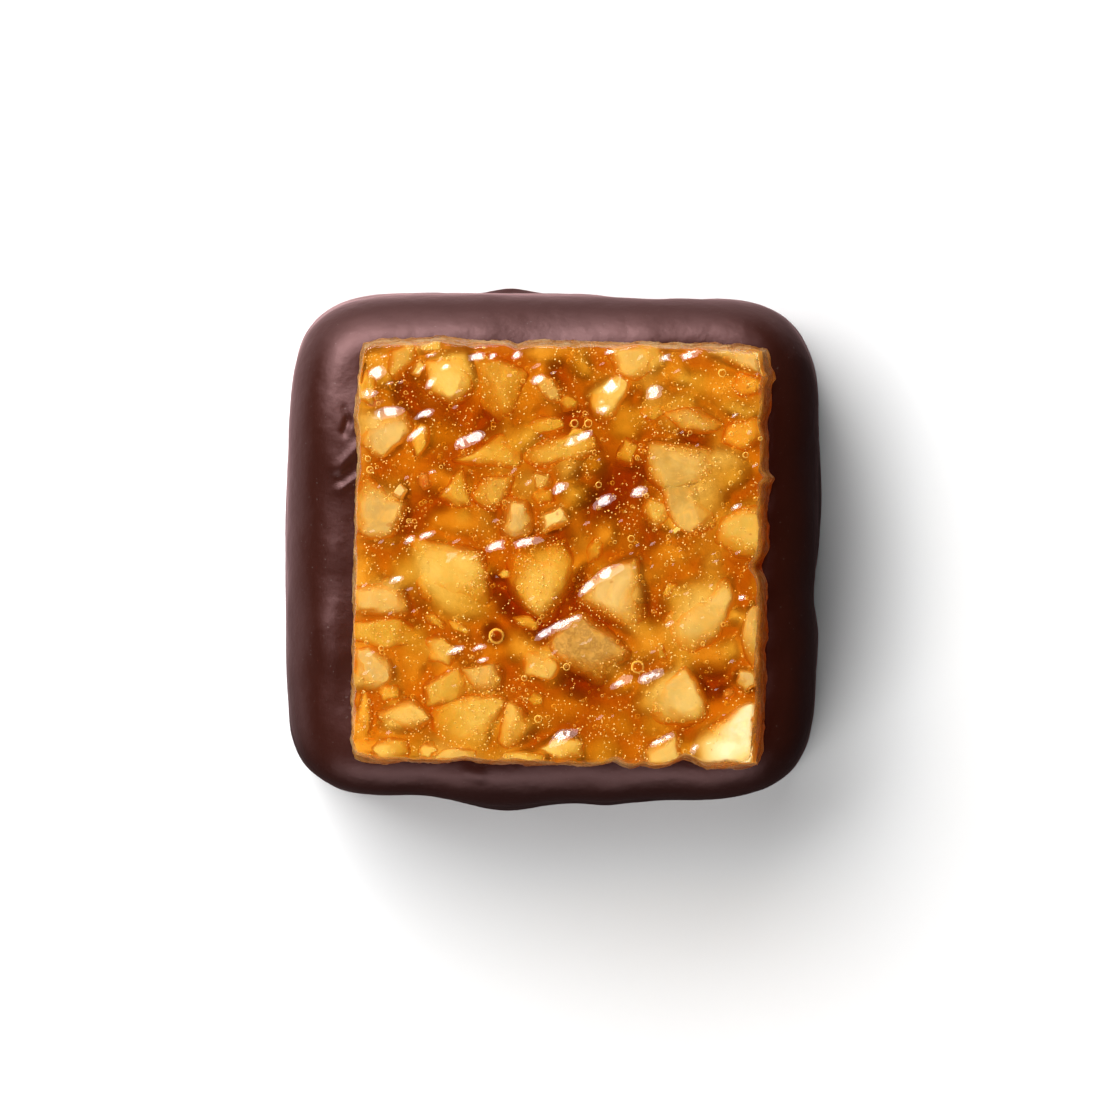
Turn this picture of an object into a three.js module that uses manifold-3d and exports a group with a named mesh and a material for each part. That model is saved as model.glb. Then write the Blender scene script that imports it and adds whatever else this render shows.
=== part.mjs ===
// Marzipan brittle: a soft square of marzipan coated in dark chocolate, with a square slab of
// caramelised chopped nuts lying on top. Sizes are in millimetres and +Z is up. The origin is the
// middle of the flat underside. +X is the right of the piece seen from above, and +Y its back.
import * as THREE from "three";
import { mergeVertices } from "three/addons/utils/BufferGeometryUtils.js";
import Module from "manifold-3d";

const wasm = await Module();
wasm.setup();

// The chocolate coat
const COAT_WIDE = 29.8; // along X at the widest level
const COAT_DEEP = 28.5; // along Y at the widest level
const COAT_TALL = 13.5; // the flat top that carries the slab
const COAT_SQUARENESS = 5.8; // 2 would be an ellipse, more is squarer
const SHOULDER_TALL = 4.2; // height of the round fall from the flat top to the side
const SHOULDER_REACH = 3.6; // how far in from the side the flat top starts
const SHOULDER_ROUNDNESS = 2.15;
const SIDE_LEAN = 0.35; // the side draws in this far from its widest level to the shoulder
const WIDEST_LEVEL = 3.2;
const UNDERSIDE_INSET = 0.55; // the resting face is this much inside the widest outline
const UNDERSIDE_EASE = 0.8; // height over which the side eases out of the resting face

// Slow waves of the coat's outline: where round the middle, how far out, and how wide
const COAT_WAVES = [
  { at: 8, out: 0.14, spread: 9 },
  { at: 33, out: 0.12, spread: 6 },
  { at: 66, out: -0.6, spread: 10 },
  { at: 127, out: 0.12, spread: 6 },
  { at: 152, out: -0.28, spread: 11 },
  { at: 218, out: 0.16, spread: 7 },
  { at: 241, out: -0.55, spread: 7 },
  { at: 260, out: 0.45, spread: 8 },
  { at: 282, out: 0.14, spread: 4 },
  { at: 293, out: -0.16, spread: 6 },
  { at: 333, out: -0.14, spread: 6 },
  { at: 350, out: -0.36, spread: 6 },
];
// Lobes of chocolate that ran out at the foot before it set
const FOOT_LOBES = [
  { at: 99, out: 0.62, spread: 6.5 },
  { at: 205, out: 0.15, spread: 9 },
  { at: 262, out: 0.2, spread: 5 },
  { at: 284, out: 0.2, spread: 3.5 },
  { at: 340, out: 0.18, spread: 8 },
];
const FOOT_TALL = 1.5;
const WAVE_FADE = { from: 5, over: 8, share: 0.75 }; // the waves lose this share over this rise

const COAT_TURNS = 112; // faces round the coat
const COAT_LEVELS = [0, 0.3, 0.8, 1.5, 3.2, 6, 9, 10.4, 11.4, 12.2, 12.8, 13.2, 13.42, 13.5];

// The slab of brittle
const SLAB_AT = { x: 0.45, y: -0.25 }; // its middle, from the coat's
const SLAB_TURN = -1.1; // degrees about +Z
const SLAB_WIDE = 22.5; // along X at its underside
const SLAB_DEEP = 23.1; // along Y at its underside
const SLAB_THICK = 3.6; // to the mean level of the caramel
const SLAB_GAP = 0.02; // between the coat's flat top and the slab
const SLAB_LEAN = { right: 0.5, left: 0.22, back: 0.42, front: 0.4 }; // top edge inside the underside
const RIM_ROUND = 0.16; // the caramel's rounded top edge
const SLAB_GRID = 24; // squares along each side of the top
const SLAB_LEVELS = [0, 0.55, 1.2, 2.0, 2.8, SLAB_THICK - RIM_ROUND]; // rings up the cut sides
const CORNER_CUT = 0.035; // how much the four corners are rounded, as a share of the half width

// Chips and notches of the cut sides: place along the side, how far out, how wide
const SIDE_CHIPS = {
  right: [
    { at: -0.5, out: -0.42, spread: 0.55 },
    { at: 4.3, out: 0.25, spread: 0.25 },
    { at: 9.8, out: 0.2, spread: 0.35 },
    { at: 7.2, out: -0.16, spread: 0.5 },
  ],
  left: [
    { at: 7.4, out: 0.14, spread: 0.9 },
    { at: 4.8, out: -0.12, spread: 1.1 },
    { at: -10.4, out: 0.12, spread: 0.8 },
  ],
  back: [
    { at: -2.6, out: -0.2, spread: 0.35 },
    { at: -6.9, out: 0.1, spread: 0.8 },
    { at: 4.0, out: 0.1, spread: 0.8 },
  ],
  front: [
    { at: 6.95, out: -0.5, spread: 0.7 },
    { at: 3.1, out: -0.24, spread: 0.45 },
    { at: 4.6, out: -0.14, spread: 0.35 },
    { at: -9.8, out: 0.12, spread: 0.9 },
    { at: -5.0, out: -0.16, spread: 0.8 },
  ],
};

// The broad nut pieces that stand out of the caramel: how high the top rises over the caramel, and
// the corners of the outline, anticlockwise. Nuts are placed from the slab's middle, along the
// coat's X and Y.
const BROAD_NUTS = [
  // along the back
  [0.14, [[-9.4, 9.8], [-8.9, 9.4], [-7.8, 10.3], [-7.7, 10.9], [-8.1, 11.3], [-9.2, 10.9]]],
  [0.26, [[-7.2, 8.8], [-5.9, 8.0], [-4.8, 8.7], [-4.7, 9.8], [-5.2, 10.8], [-7.2, 10.4]]],
  [0.22, [[3.1, 9.7], [4.0, 9.3], [5.2, 9.8], [5.6, 10.5], [5.0, 11.2], [2.6, 11.0]]],
  [0.42, [[1.5, 8.7], [1.6, 7.8], [2.3, 7.2], [3.0, 7.6], [3.7, 9.0], [2.8, 9.6]]],
  [0.3, [[8.0, 10.4], [9.5, 9.9], [11.2, 9.5], [11.4, 11.3], [8.0, 11.3]]],
  [0.34, [[-10.8, 6.0], [-9.6, 5.2], [-8.1, 6.5], [-8.1, 7.1], [-8.7, 7.7], [-10.9, 7.6]]],
  // right of the middle
  [0.16, [[6.6, 6.7], [8.1, 6.6], [8.7, 7.0], [7.2, 7.8], [6.4, 7.8], [5.6, 7.5]]],
  [0.34, [[5.0, 4.1], [5.5, 3.4], [7.6, 2.9], [10.1, 4.6], [8.5, 5.5], [5.4, 5.9]]],
  [0.24, [[5.9, 2.4], [6.7, 1.2], [7.6, 1.1], [8.2, 1.5], [8.6, 2.7], [5.6, 3.3]]],
  [0.36, [[8.3, 0.7], [9.4, -0.2], [10.9, -0.1], [10.8, 2.4], [9.8, 2.7], [8.8, 2.1]]],
  [0.3, [[5.5, -3.4], [5.8, -4.7], [6.8, -5.2], [8.7, -3.4], [9.1, -2.4], [8.5, -1.3], [6.7, -2.0]]],
  [0.24, [[9.8, -3.8], [9.8, -5.2], [10.4, -6.2], [11.1, -5.7], [11.1, -3.1], [10.3, -2.9]]],
  // left of the middle
  [0.14, [[-5.2, 4.8], [-2.4, 4.6], [-2.2, 5.3], [-2.3, 6.2], [-3.1, 6.6], [-5.7, 5.1]]],
  [0.12, [[-1.2, 4.6], [1.0, 4.9], [1.9, 5.6], [1.7, 6.3], [0.7, 6.6], [-1.7, 5.8], [-2.1, 5.2]]],
  [0.34, [[-11.0, 1.5], [-10.3, 0.8], [-9.1, 0.9], [-8.4, 2.7], [-10.5, 4.2], [-11.0, 3.1]]],
  [0.14, [[-6.1, 3.9], [-6.6, 3.1], [-5.6, 2.5], [-4.9, 2.7], [-5.3, 4.6]]],
  [0.14, [[-4.5, 2.6], [-3.8, 2.3], [-3.0, 2.8], [-2.5, 3.8], [-2.8, 4.2], [-4.2, 4.0], [-4.9, 3.1]]],
  [0.34, [[-3.1, 1.3], [-2.5, 0.9], [-1.8, 1.1], [-1.6, 1.6], [-1.9, 2.8], [-2.8, 2.9]]],
  [0.42, [[-8.0, -1.0], [-7.4, -2.5], [-6.3, -3.4], [-4.2, -3.3], [-3.9, -2.3], [-4.4, 0.0], [-8.2, 0.9]]],
  [0.28, [[-11.0, -3.1], [-9.6, -3.3], [-8.3, -3.1], [-8.8, -1.3], [-9.7, -1.3], [-11.0, -1.8]]],
  // middle
  [0.38, [[-2.8, -1.4], [-2.1, -2.7], [-0.9, -3.4], [0.4, -1.6], [0.7, -0.3], [-0.1, 0.6], [-2.8, 0.0]]],
  [0.46, [[4.2, -4.5], [4.6, -4.3], [4.5, -2.5], [4.1, -0.4], [3.1, -0.6], [1.6, -1.4], [1.1, -2.6]]],
  [0.4, [[-0.5, -5.5], [2.0, -7.0], [3.1, -6.1], [3.7, -5.2], [2.1, -3.9], [1.1, -3.2], [-0.5, -4.4]]],
  [0.24, [[-2.0, -6.5], [-0.5, -6.8], [-0.1, -6.2], [-0.5, -4.8], [-2.0, -5.2]]],
  // along the front
  [0.36, [[-11.1, -7.2], [-10.1, -7.3], [-9.2, -6.7], [-9.2, -6.0], [-10.1, -5.1], [-11.1, -5.2]]],
  [0.14, [[-7.2, -5.7], [-6.0, -6.0], [-5.6, -5.2], [-6.5, -4.4], [-7.3, -4.7]]],
  [0.18, [[-7.2, -8.2], [-5.2, -7.9], [-4.8, -7.3], [-5.5, -6.1], [-6.0, -6.2], [-7.3, -7.0]]],
  [0.22, [[-4.7, -7.4], [-3.5, -7.3], [-3.3, -6.5], [-3.6, -5.9], [-5.5, -6.2]]],
  [0.3, [[-9.4, -9.5], [-7.8, -9.5], [-7.0, -8.9], [-8.1, -7.9], [-9.0, -8.1], [-9.8, -8.6]]],
  [0.22, [[-6, -10.9], [-4, -10.6], [-3.3, -8.8], [-2.9, -7.8], [-4.7, -7.6], [-6.9, -8.3], [-6.8, -9.7]]],
  [0.18, [[-3.4, -10.0], [-2.9, -10.7], [-2.2, -10.2], [-1.5, -9.2], [-2.0, -8.4], [-2.9, -8.1]]],
  [0.44, [[3.9, -8.2], [5.3, -9.2], [7.4, -9.0], [7.8, -8.4], [7.5, -7.3], [6.5, -5.9], [4.5, -7.3]]],
  [0.32, [[4.9, -11.5], [6.1, -11.2], [6.3, -10.6], [6.1, -9.7], [4.6, -10.5]]],
  [0.4, [[7.8, -11.0], [9.0, -11.9], [11.2, -11.8], [11.1, -8.9], [10.3, -8.5], [9.0, -9.2], [7.6, -10.2]]],
];

// The small nut pieces that stand out of the caramel: the middle, x and y, the length, the width,
// the direction of the length in degrees, the number of corners, and the rise over the caramel
const SMALL_NUTS = [
  [-10.5, 8.9, 2.2, 1.2, 80, 4, 0.2],
  [-7.6, 6.2, 1.9, 1.0, 80, 5, 0.14],
  [-0.7, 8.9, 1.7, 1.0, -50, 6, 0.14],
  [9.8, 6.4, 2.4, 1.9, 30, 5, 0.16],
  [9.9, -6.8, 1.2, 1.0, 90, 5, 0.22],
  [-8.7, 3.3, 1.0, 0.7, 60, 4, 0.14],
  [-0.4, 1.8, 1.9, 1.2, 25, 4, 0.3],
  [-9.2, -10.5, 1.9, 1.1, 5, 5, 0.2],
  [0.1, -10.5, 2.5, 1.1, 0, 5, 0.22],
];
const NUT_FLATNESS = 0.8; // thickness as a share of the width
const NUT_THICKEST = 2.3;
const NUT_TILT = 7; // degrees that the top and the bottom of a piece may lean
const NUT_SIDE_SLOPE = 0.25; // how much a piece narrows upward
const NUT_SHARPNESS = 11; // of the edges between its broken faces
const NUT_OUTLINE_GROWTH = 1.05; // makes up for the rounding of the corners

const radians = THREE.MathUtils.degToRad;
const bell = (distance, spread) => Math.exp(-((distance / spread) ** 2));
const ease = (t) => t * t * (3 - 2 * t);

// Differs for each seed, and is the same in every run
function drawing(seed) {
  let state = (seed * 2654435761) >>> 0;
  return () => {
    state = (state * 1664525 + 1013904223) >>> 0;
    return state / 2 ** 32;
  };
}

function asSolid(geometry) {
  geometry.deleteAttribute("normal");
  geometry.deleteAttribute("uv");
  const merged = mergeVertices(geometry, 1e-4);
  return new wasm.Manifold(
    new wasm.Mesh({
      numProp: 3,
      vertProperties: merged.attributes.position.array,
      triVerts: new Uint32Array(merged.index.array),
    }),
  );
}

function asGeometry(solid) {
  const mesh = solid.getMesh();
  const geometry = new THREE.BufferGeometry();
  geometry.setAttribute("position", new THREE.BufferAttribute(mesh.vertProperties, 3));
  geometry.setIndex(new THREE.BufferAttribute(mesh.triVerts, 1));
  const faceted = geometry.toNonIndexed();
  faceted.computeVertexNormals();
  return faceted;
}

// Joins closed rings of points, given from the bottom up, and closes both ends with a fan
function loft(rings) {
  const round = rings[0].length;
  const points = rings.flat();
  const faces = [];
  for (let level = 0; level + 1 < rings.length; level++) {
    for (let i = 0; i < round; i++) {
      const a = level * round + i;
      const b = level * round + ((i + 1) % round);
      faces.push(a, b, b + round, a, b + round, a + round);
    }
  }
  const close = (ring, start, upward) => {
    const middle = points.length;
    const sum = ring.reduce((total, p) => total.add(p), new THREE.Vector3());
    points.push(sum.divideScalar(round));
    for (let i = 0; i < round; i++) {
      const a = start + i;
      const b = start + ((i + 1) % round);
      faces.push(middle, upward ? a : b, upward ? b : a);
    }
  };
  close(rings[0], 0, false);
  close(rings[rings.length - 1], (rings.length - 1) * round, true);
  return new THREE.BufferGeometry().setFromPoints(points).setIndex(faces);
}

// How far waves or lobes push out in one direction round the middle
function pushed(list, degrees) {
  return list.reduce((total, wave) => {
    const apart = ((degrees - wave.at + 540) % 360) - 180;
    return total + wave.out * bell(apart, wave.spread);
  }, 0);
}

// The coat's widest outline in one direction round the middle, before its waves
function coatReach(degrees) {
  const across = Math.abs(Math.cos(radians(degrees))) / (COAT_WIDE / 2);
  const along = Math.abs(Math.sin(radians(degrees))) / (COAT_DEEP / 2);
  return (across ** COAT_SQUARENESS + along ** COAT_SQUARENESS) ** (-1 / COAT_SQUARENESS);
}

// How far the coat's side is inside its widest outline at a level
function coatInset(level) {
  const shoulder = COAT_TALL - SHOULDER_TALL;
  const under = UNDERSIDE_INSET * (1 - ease(Math.min(1, level / UNDERSIDE_EASE)));
  const risen = THREE.MathUtils.clamp((level - WIDEST_LEVEL) / (shoulder - WIDEST_LEVEL), 0, 1);
  const lean = SIDE_LEAN * ease(risen);
  const up = Math.max(0, (level - shoulder) / SHOULDER_TALL);
  const round = 1 - (1 - Math.min(1, up) ** SHOULDER_ROUNDNESS) ** (1 / SHOULDER_ROUNDNESS);
  return under + lean + (SHOULDER_REACH - SIDE_LEAN) * round;
}

// How far the waves and the foot's lobes push the side out at a level
function coatPush(degrees, level) {
  const risen = THREE.MathUtils.clamp((level - WAVE_FADE.from) / WAVE_FADE.over, 0, 1);
  const waves = pushed(COAT_WAVES, degrees) * (1 - WAVE_FADE.share * ease(risen));
  const foot = pushed(FOOT_LOBES, degrees) * (1 - ease(Math.min(1, level / FOOT_TALL)));
  return waves + foot;
}

function coatRings() {
  const rings = COAT_LEVELS.map((level) =>
    Array.from({ length: COAT_TURNS }, (_, i) => {
      const degrees = (i * 360) / COAT_TURNS;
      const reach = coatReach(degrees) - coatInset(level) + coatPush(degrees, level);
      const way = radians(degrees);
      return new THREE.Vector3(reach * Math.cos(way), reach * Math.sin(way), level);
    }),
  );
  const box = new THREE.Box3().setFromPoints(rings.flat());
  const middle = box.getCenter(new THREE.Vector3()).setZ(0);
  rings.flat().forEach((point) => point.sub(middle));
  return rings;
}

// The outline of a cut side, by the place along it and the height up it
function sideCut(side, along, level) {
  const chips = SIDE_CHIPS[side].reduce((sum, chip) => {
    return sum + chip.out * bell(along - chip.at, chip.spread);
  }, 0);
  const seed = side.length + SLAB_LEAN[side] * 10;
  const crumbs =
    0.05 * Math.sin(3.1 * along + 2.3 * level + seed) +
    0.04 * Math.sin(6.7 * along - 3.9 * level + 2 * seed) +
    0.03 * Math.sin(11.3 * along + 5.1 * level + 3 * seed);
  return chips + crumbs - (SLAB_LEAN[side] * level) / SLAB_THICK;
}

// The point of the slab at u and v, each from -1 to 1 across it, at a height over its underside
function slabPoint(u, v, level) {
  const soften = 1 - CORNER_CUT * (u * v) ** 8;
  const x = (u * soften * SLAB_WIDE) / 2;
  const y = (v * soften * SLAB_DEEP) / 2;
  const edge = (share) => Math.abs(share) ** 5;
  const point = new THREE.Vector3(
    x + Math.sign(u) * edge(u) * sideCut(u > 0 ? "right" : "left", y, level),
    y + Math.sign(v) * edge(v) * sideCut(v > 0 ? "back" : "front", x, level),
    level,
  );
  return point;
}

// The places round the slab's edge, anticlockwise from its front left corner
function edgePlaces() {
  const steps = Array.from({ length: SLAB_GRID }, (_, i) => -1 + (2 * i) / SLAB_GRID);
  return [
    ...steps.map((s) => [s, -1]),
    ...steps.map((s) => [1, s]),
    ...steps.map((s) => [-s, 1]),
    ...steps.map((s) => [-1, -s]),
  ];
}

// Slow swells of the caramel's surface
function caramelSwell(x, y) {
  const broad = 0.07 * Math.sin(0.62 * x + 1.3) * Math.cos(0.55 * y - 0.4);
  return broad + 0.05 * Math.sin(1.3 * x - 1.1 * y + 0.7);
}

function slabSolid() {
  const rings = SLAB_LEVELS.map((level) => edgePlaces().map(([u, v]) => slabPoint(u, v, level)));
  // The top shrinks inward ring by ring, from the rounded rim to the middle
  const half = SLAB_GRID / 2;
  for (let ring = half - 0.35; ring > 0; ring -= ring > half - 1 ? 0.65 : 1) {
    const share = ring / half;
    const rise = SLAB_THICK;
    rings.push(
      edgePlaces().map(([u, v]) => {
        const point = slabPoint(u * share, v * share, rise);
        return point.setZ(rise + caramelSwell(point.x, point.y) * (1 - share ** 12));
      }),
    );
  }
  return asSolid(loft(rings));
}

// The corners of a small piece: spread round an oval, each a little out of place
function roughOutline([x, y, long, wide, turn, corners], draw) {
  return Array.from({ length: corners }, (_, i) => {
    const way = ((i + 0.5 + 0.3 * (draw() - 0.5)) * 2 * Math.PI) / corners;
    const corner = new THREE.Vector2((Math.cos(way) * long) / 2, (Math.sin(way) * wide) / 2);
    corner.rotateAround(new THREE.Vector2(), radians(turn));
    return [x + corner.x, y + corner.y];
  });
}

// A broken piece of nut: a lump whose faces are planes, with softened edges between them. The planes
// are held for a lump scaled to a unit ball, so that the ball's points spread evenly over it.
function nutSolid(outline, rise, detail, draw) {
  const corners = outline.map(([x, y]) => new THREE.Vector2(x, y));
  const box = new THREE.Box2().setFromPoints(corners);
  const middle = box.getCenter(new THREE.Vector2());
  const half = box.getSize(new THREE.Vector2()).multiplyScalar(NUT_OUTLINE_GROWTH / 2);
  const thick = Math.min(NUT_THICKEST, 2 * Math.min(half.x, half.y) * NUT_FLATNESS);
  const scale = new THREE.Vector3(half.x, half.y, thick / 2);
  const planes = corners.map((corner, i) => {
    const next = corners[(i + 1) % corners.length];
    const out = new THREE.Vector2(next.y - corner.y, corner.x - next.x).normalize();
    const reach = NUT_OUTLINE_GROWTH * out.dot(corner.clone().sub(middle));
    const slope = NUT_SIDE_SLOPE * (draw() + draw() - 0.4);
    return new THREE.Vector3(out.x, out.y, slope).multiply(scale).divideScalar(reach);
  });
  for (const up of [1, -1]) {
    const lean = () => Math.tan(radians(NUT_TILT)) * (2 * draw() - 1);
    planes.push(new THREE.Vector3(lean(), lean(), up).multiply(scale).divideScalar(thick / 2));
  }
  const lump = new THREE.IcosahedronGeometry(1, detail);
  const points = lump.getAttribute("position");
  const way = new THREE.Vector3();
  for (let i = 0; i < points.count; i++) {
    way.fromBufferAttribute(points, i).normalize();
    const met = planes.reduce((sum, plane) => sum + Math.max(0, plane.dot(way)) ** NUT_SHARPNESS, 0);
    way.multiplyScalar(met ** (-1 / NUT_SHARPNESS)).multiply(scale);
    points.setXYZ(i, way.x, way.y, way.z);
  }
  lump.computeBoundingBox();
  lump.translate(middle.x, middle.y, SLAB_THICK + rise - lump.boundingBox.max.z);
  return asSolid(lump);
}

function nutSolids() {
  const draw = drawing(7);
  const broad = BROAD_NUTS.map(([rise, outline]) => nutSolid(outline, rise, 2, draw));
  const small = SMALL_NUTS.map((row) => nutSolid(roughOutline(row, draw), row[6], 1, draw));
  return wasm.Manifold.union([...broad, ...small]).rotate([0, 0, -SLAB_TURN]);
}

// The slab's footprint carried up past the nuts, which trims them flush with the cut sides
function trimmingBlock() {
  const top = SLAB_THICK + 2;
  const ring = (level, height) => edgePlaces().map(([u, v]) => slabPoint(u, v, level).setZ(height));
  return asSolid(loft([ring(0, 0.3), ring(SLAB_THICK, SLAB_THICK - RIM_ROUND), ring(SLAB_THICK, top)]));
}

function brittleGeometry() {
  const joined = slabSolid().add(nutSolids().intersect(trimmingBlock()));
  const largest = joined.decompose().sort((a, b) => b.volume() - a.volume())[0];
  return asGeometry(largest);
}

function chocolateCoat() {
  const geometry = loft(coatRings()).toNonIndexed();
  geometry.computeVertexNormals();
  const finish = new THREE.MeshStandardMaterial({ color: 0x3d211c, roughness: 0.42, metalness: 0 });
  const mesh = new THREE.Mesh(geometry, finish);
  mesh.name = "chocolate_coat";
  return mesh;
}

function brittleSlab() {
  const finish = new THREE.MeshStandardMaterial({ color: 0xd98a1e, roughness: 0.15, metalness: 0 });
  const mesh = new THREE.Mesh(brittleGeometry(), finish);
  mesh.name = "brittle_slab";
  mesh.position.set(SLAB_AT.x, SLAB_AT.y, COAT_TALL + SLAB_GAP);
  mesh.rotation.z = radians(SLAB_TURN);
  return mesh;
}

const marzipanBrittle = new THREE.Group();
marzipanBrittle.add(chocolateCoat(), brittleSlab());

export default marzipanBrittle;
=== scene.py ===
"""Builds the looks of a praline: marzipan coated in dark chocolate, with a slab of nut brittle on top.

Shapes are worked out in millimetres and become metres where a mesh is made. The brittle's own
places are measured from the middle of its slab's underside.
"""

import math

import bmesh
import bpy
import numpy as np
from bpy.props import FloatProperty, FloatVectorProperty, IntProperty, PointerProperty
from mathutils import Matrix, Vector
from mathutils.bvhtree import BVHTree


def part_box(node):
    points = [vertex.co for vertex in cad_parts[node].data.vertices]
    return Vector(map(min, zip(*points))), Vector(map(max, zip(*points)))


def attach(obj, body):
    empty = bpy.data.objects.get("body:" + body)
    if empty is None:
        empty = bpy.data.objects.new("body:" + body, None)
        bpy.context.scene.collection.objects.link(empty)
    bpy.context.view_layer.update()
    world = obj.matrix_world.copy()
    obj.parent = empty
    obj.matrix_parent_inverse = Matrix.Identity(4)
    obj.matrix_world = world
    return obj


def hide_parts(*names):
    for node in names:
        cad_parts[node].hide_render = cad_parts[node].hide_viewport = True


bl_info = {
    "name": "Marzipan Brittle Praline",
    "version": (1, 0, 0),
    "blender": (4, 5, 0),
    "location": "3D View > Sidebar > Praline",
    "description": "Builds a chocolate-coated praline with a slab of nut brittle on top",
    "category": "Add Mesh",
}

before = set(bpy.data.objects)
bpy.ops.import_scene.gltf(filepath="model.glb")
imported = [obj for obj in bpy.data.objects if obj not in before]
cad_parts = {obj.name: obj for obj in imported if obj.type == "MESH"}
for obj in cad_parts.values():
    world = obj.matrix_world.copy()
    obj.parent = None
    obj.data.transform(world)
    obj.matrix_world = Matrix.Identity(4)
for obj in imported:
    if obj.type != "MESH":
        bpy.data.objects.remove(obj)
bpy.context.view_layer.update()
COAT_LOW, COAT_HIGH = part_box("chocolate_coat")
SLAB_LOW, SLAB_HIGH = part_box("brittle_slab")

MM = 0.001

# The chocolate coat, in millimetres. The flat top is where the frame's coat ends.
COAT_TALL = COAT_HIGH.z / MM
COAT_SQUARENESS = 5.8
SHOULDER_TALL = 4.2
SHOULDER_REACH = 3.6
SHOULDER_ROUNDNESS = 2.15
SIDE_LEAN = 0.35
WIDEST_LEVEL = 3.2
UNDERSIDE_INSET = 0.55
UNDERSIDE_EASE = 0.8
FOOT_TALL = 1.5
WAVE_FADE_FROM = 5.0
WAVE_FADE_OVER = 8.0
WAVE_FADE_SHARE = 0.75
COAT_TURNS = 720
FOOT_RINGS = 9
SIDE_RINGS = 26
SHOULDER_RINGS = 34
BESIDE_SLAB_RINGS = 22
BESIDE_SLAB = 2.0  # breadth of the fine rings of the top round the slab
INNER_RINGS = 14
MIDDLE_REACH = 14.0
SMALLEST_RING = 0.02
COAT_SWELLS = [(0.09, 4.2, 3), (0.045, 1.7, 4), (0.008, 0.5, 5)]  # height, breadth and seed
SWELLS_FROM = 1.2  # below this level the coat swells less, so that it stays on the floor
MARKS_FROM = 8.0
MARKS_OVER = 2.0
UNDER_SLAB = (11.1, 11.4)  # from the slab's middle, as far as the coat may bulge up beside it
UNDER_SLAB_EASE = 0.6

# Waves of the coat's outline: degrees round the middle, how far out, how many degrees wide
COAT_WAVES = [
    (8, 0.14, 9),
    (33, 0.12, 6),
    (66, -0.6, 10),
    (127, 0.12, 6),
    (152, -0.28, 11),
    (218, 0.16, 7),
    (241, -0.55, 7),
    (260, 0.45, 8),
    (282, 0.14, 4),
    (293, -0.16, 6),
    (333, -0.14, 6),
    (350, -0.36, 6),
]
FOOT_LOBES = [
    (99, 0.75, 6.5),
    (205, 0.15, 9),
    (262, 0.2, 5),
    (284, 0.2, 3.5),
    (340, 0.18, 8),
]
# Dents and ridges left on the coat beside the slab: from x and y, to x and y, width, height
COAT_MARKS = [
    (-10.9, 6.4, -10.8, 5.2, 2.2, 0.40),
    (-11.7, 4.35, -10.5, 5.6, 0.3, 0.14),
    (-11.6, 3.85, -10.6, 4.5, 0.3, -0.1),
    (-11.65, 3.15, -10.6, 3.85, 0.16, 0.1),
    (-11.3, 7.6, -11.15, 6.9, 0.22, -0.05),
    (-11.1, 7.0, -11.35, 6.3, 0.2, -0.1),
    (-12.4, -4.4, -12.0, -5.6, 1.0, 0.14),
    (-4.7, -12.1, -4.0, -12.3, 0.35, 0.08),
]

# The slab of brittle, in millimetres, on the level that the frame gives
SLAB_AT = (0.45, -0.25)
SLAB_TURN = math.radians(-1.1)
SLAB_BASE = SLAB_LOW.z / MM
SLAB_THICK = 3.6
SLAB_LEAN = {"right": 0.72, "left": 0.22, "back": 0.42, "front": 0.4}
SLAB_LEAN_SEED = {"right": 10.0, "left": 6.2, "back": 8.2, "front": 9.0}
RIM_ROUND = 0.16
CORNER_CUT = 0.026
SIDE_ROUGHNESS = [(0.09, 1.3, 2), (0.07, 0.55, 0), (0.045, 0.22, 1)]  # height, breadth, seed
SIDE_REACH = 7  # how steeply the roughness of a cut side fades inwards
GLAZE_GRID = 256
WALL_LEVELS = 33
GLAZE_SWELLS = [(0.05, 1.6, 31), (0.02, 0.7, 32)]
GLAZE_RIPPLES = [(0.010, 0.45, 33), (0.006, 0.22, 34)]  # these break up its shine
GLAZE_BLUR = 0.4  # how softly the glaze runs over the edges of the pieces
GLAZE_LAST_BLUR = 0.05
WALL_TOP = SLAB_THICK - 0.5  # a surface below this level is a cut side, not the glaze

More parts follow.
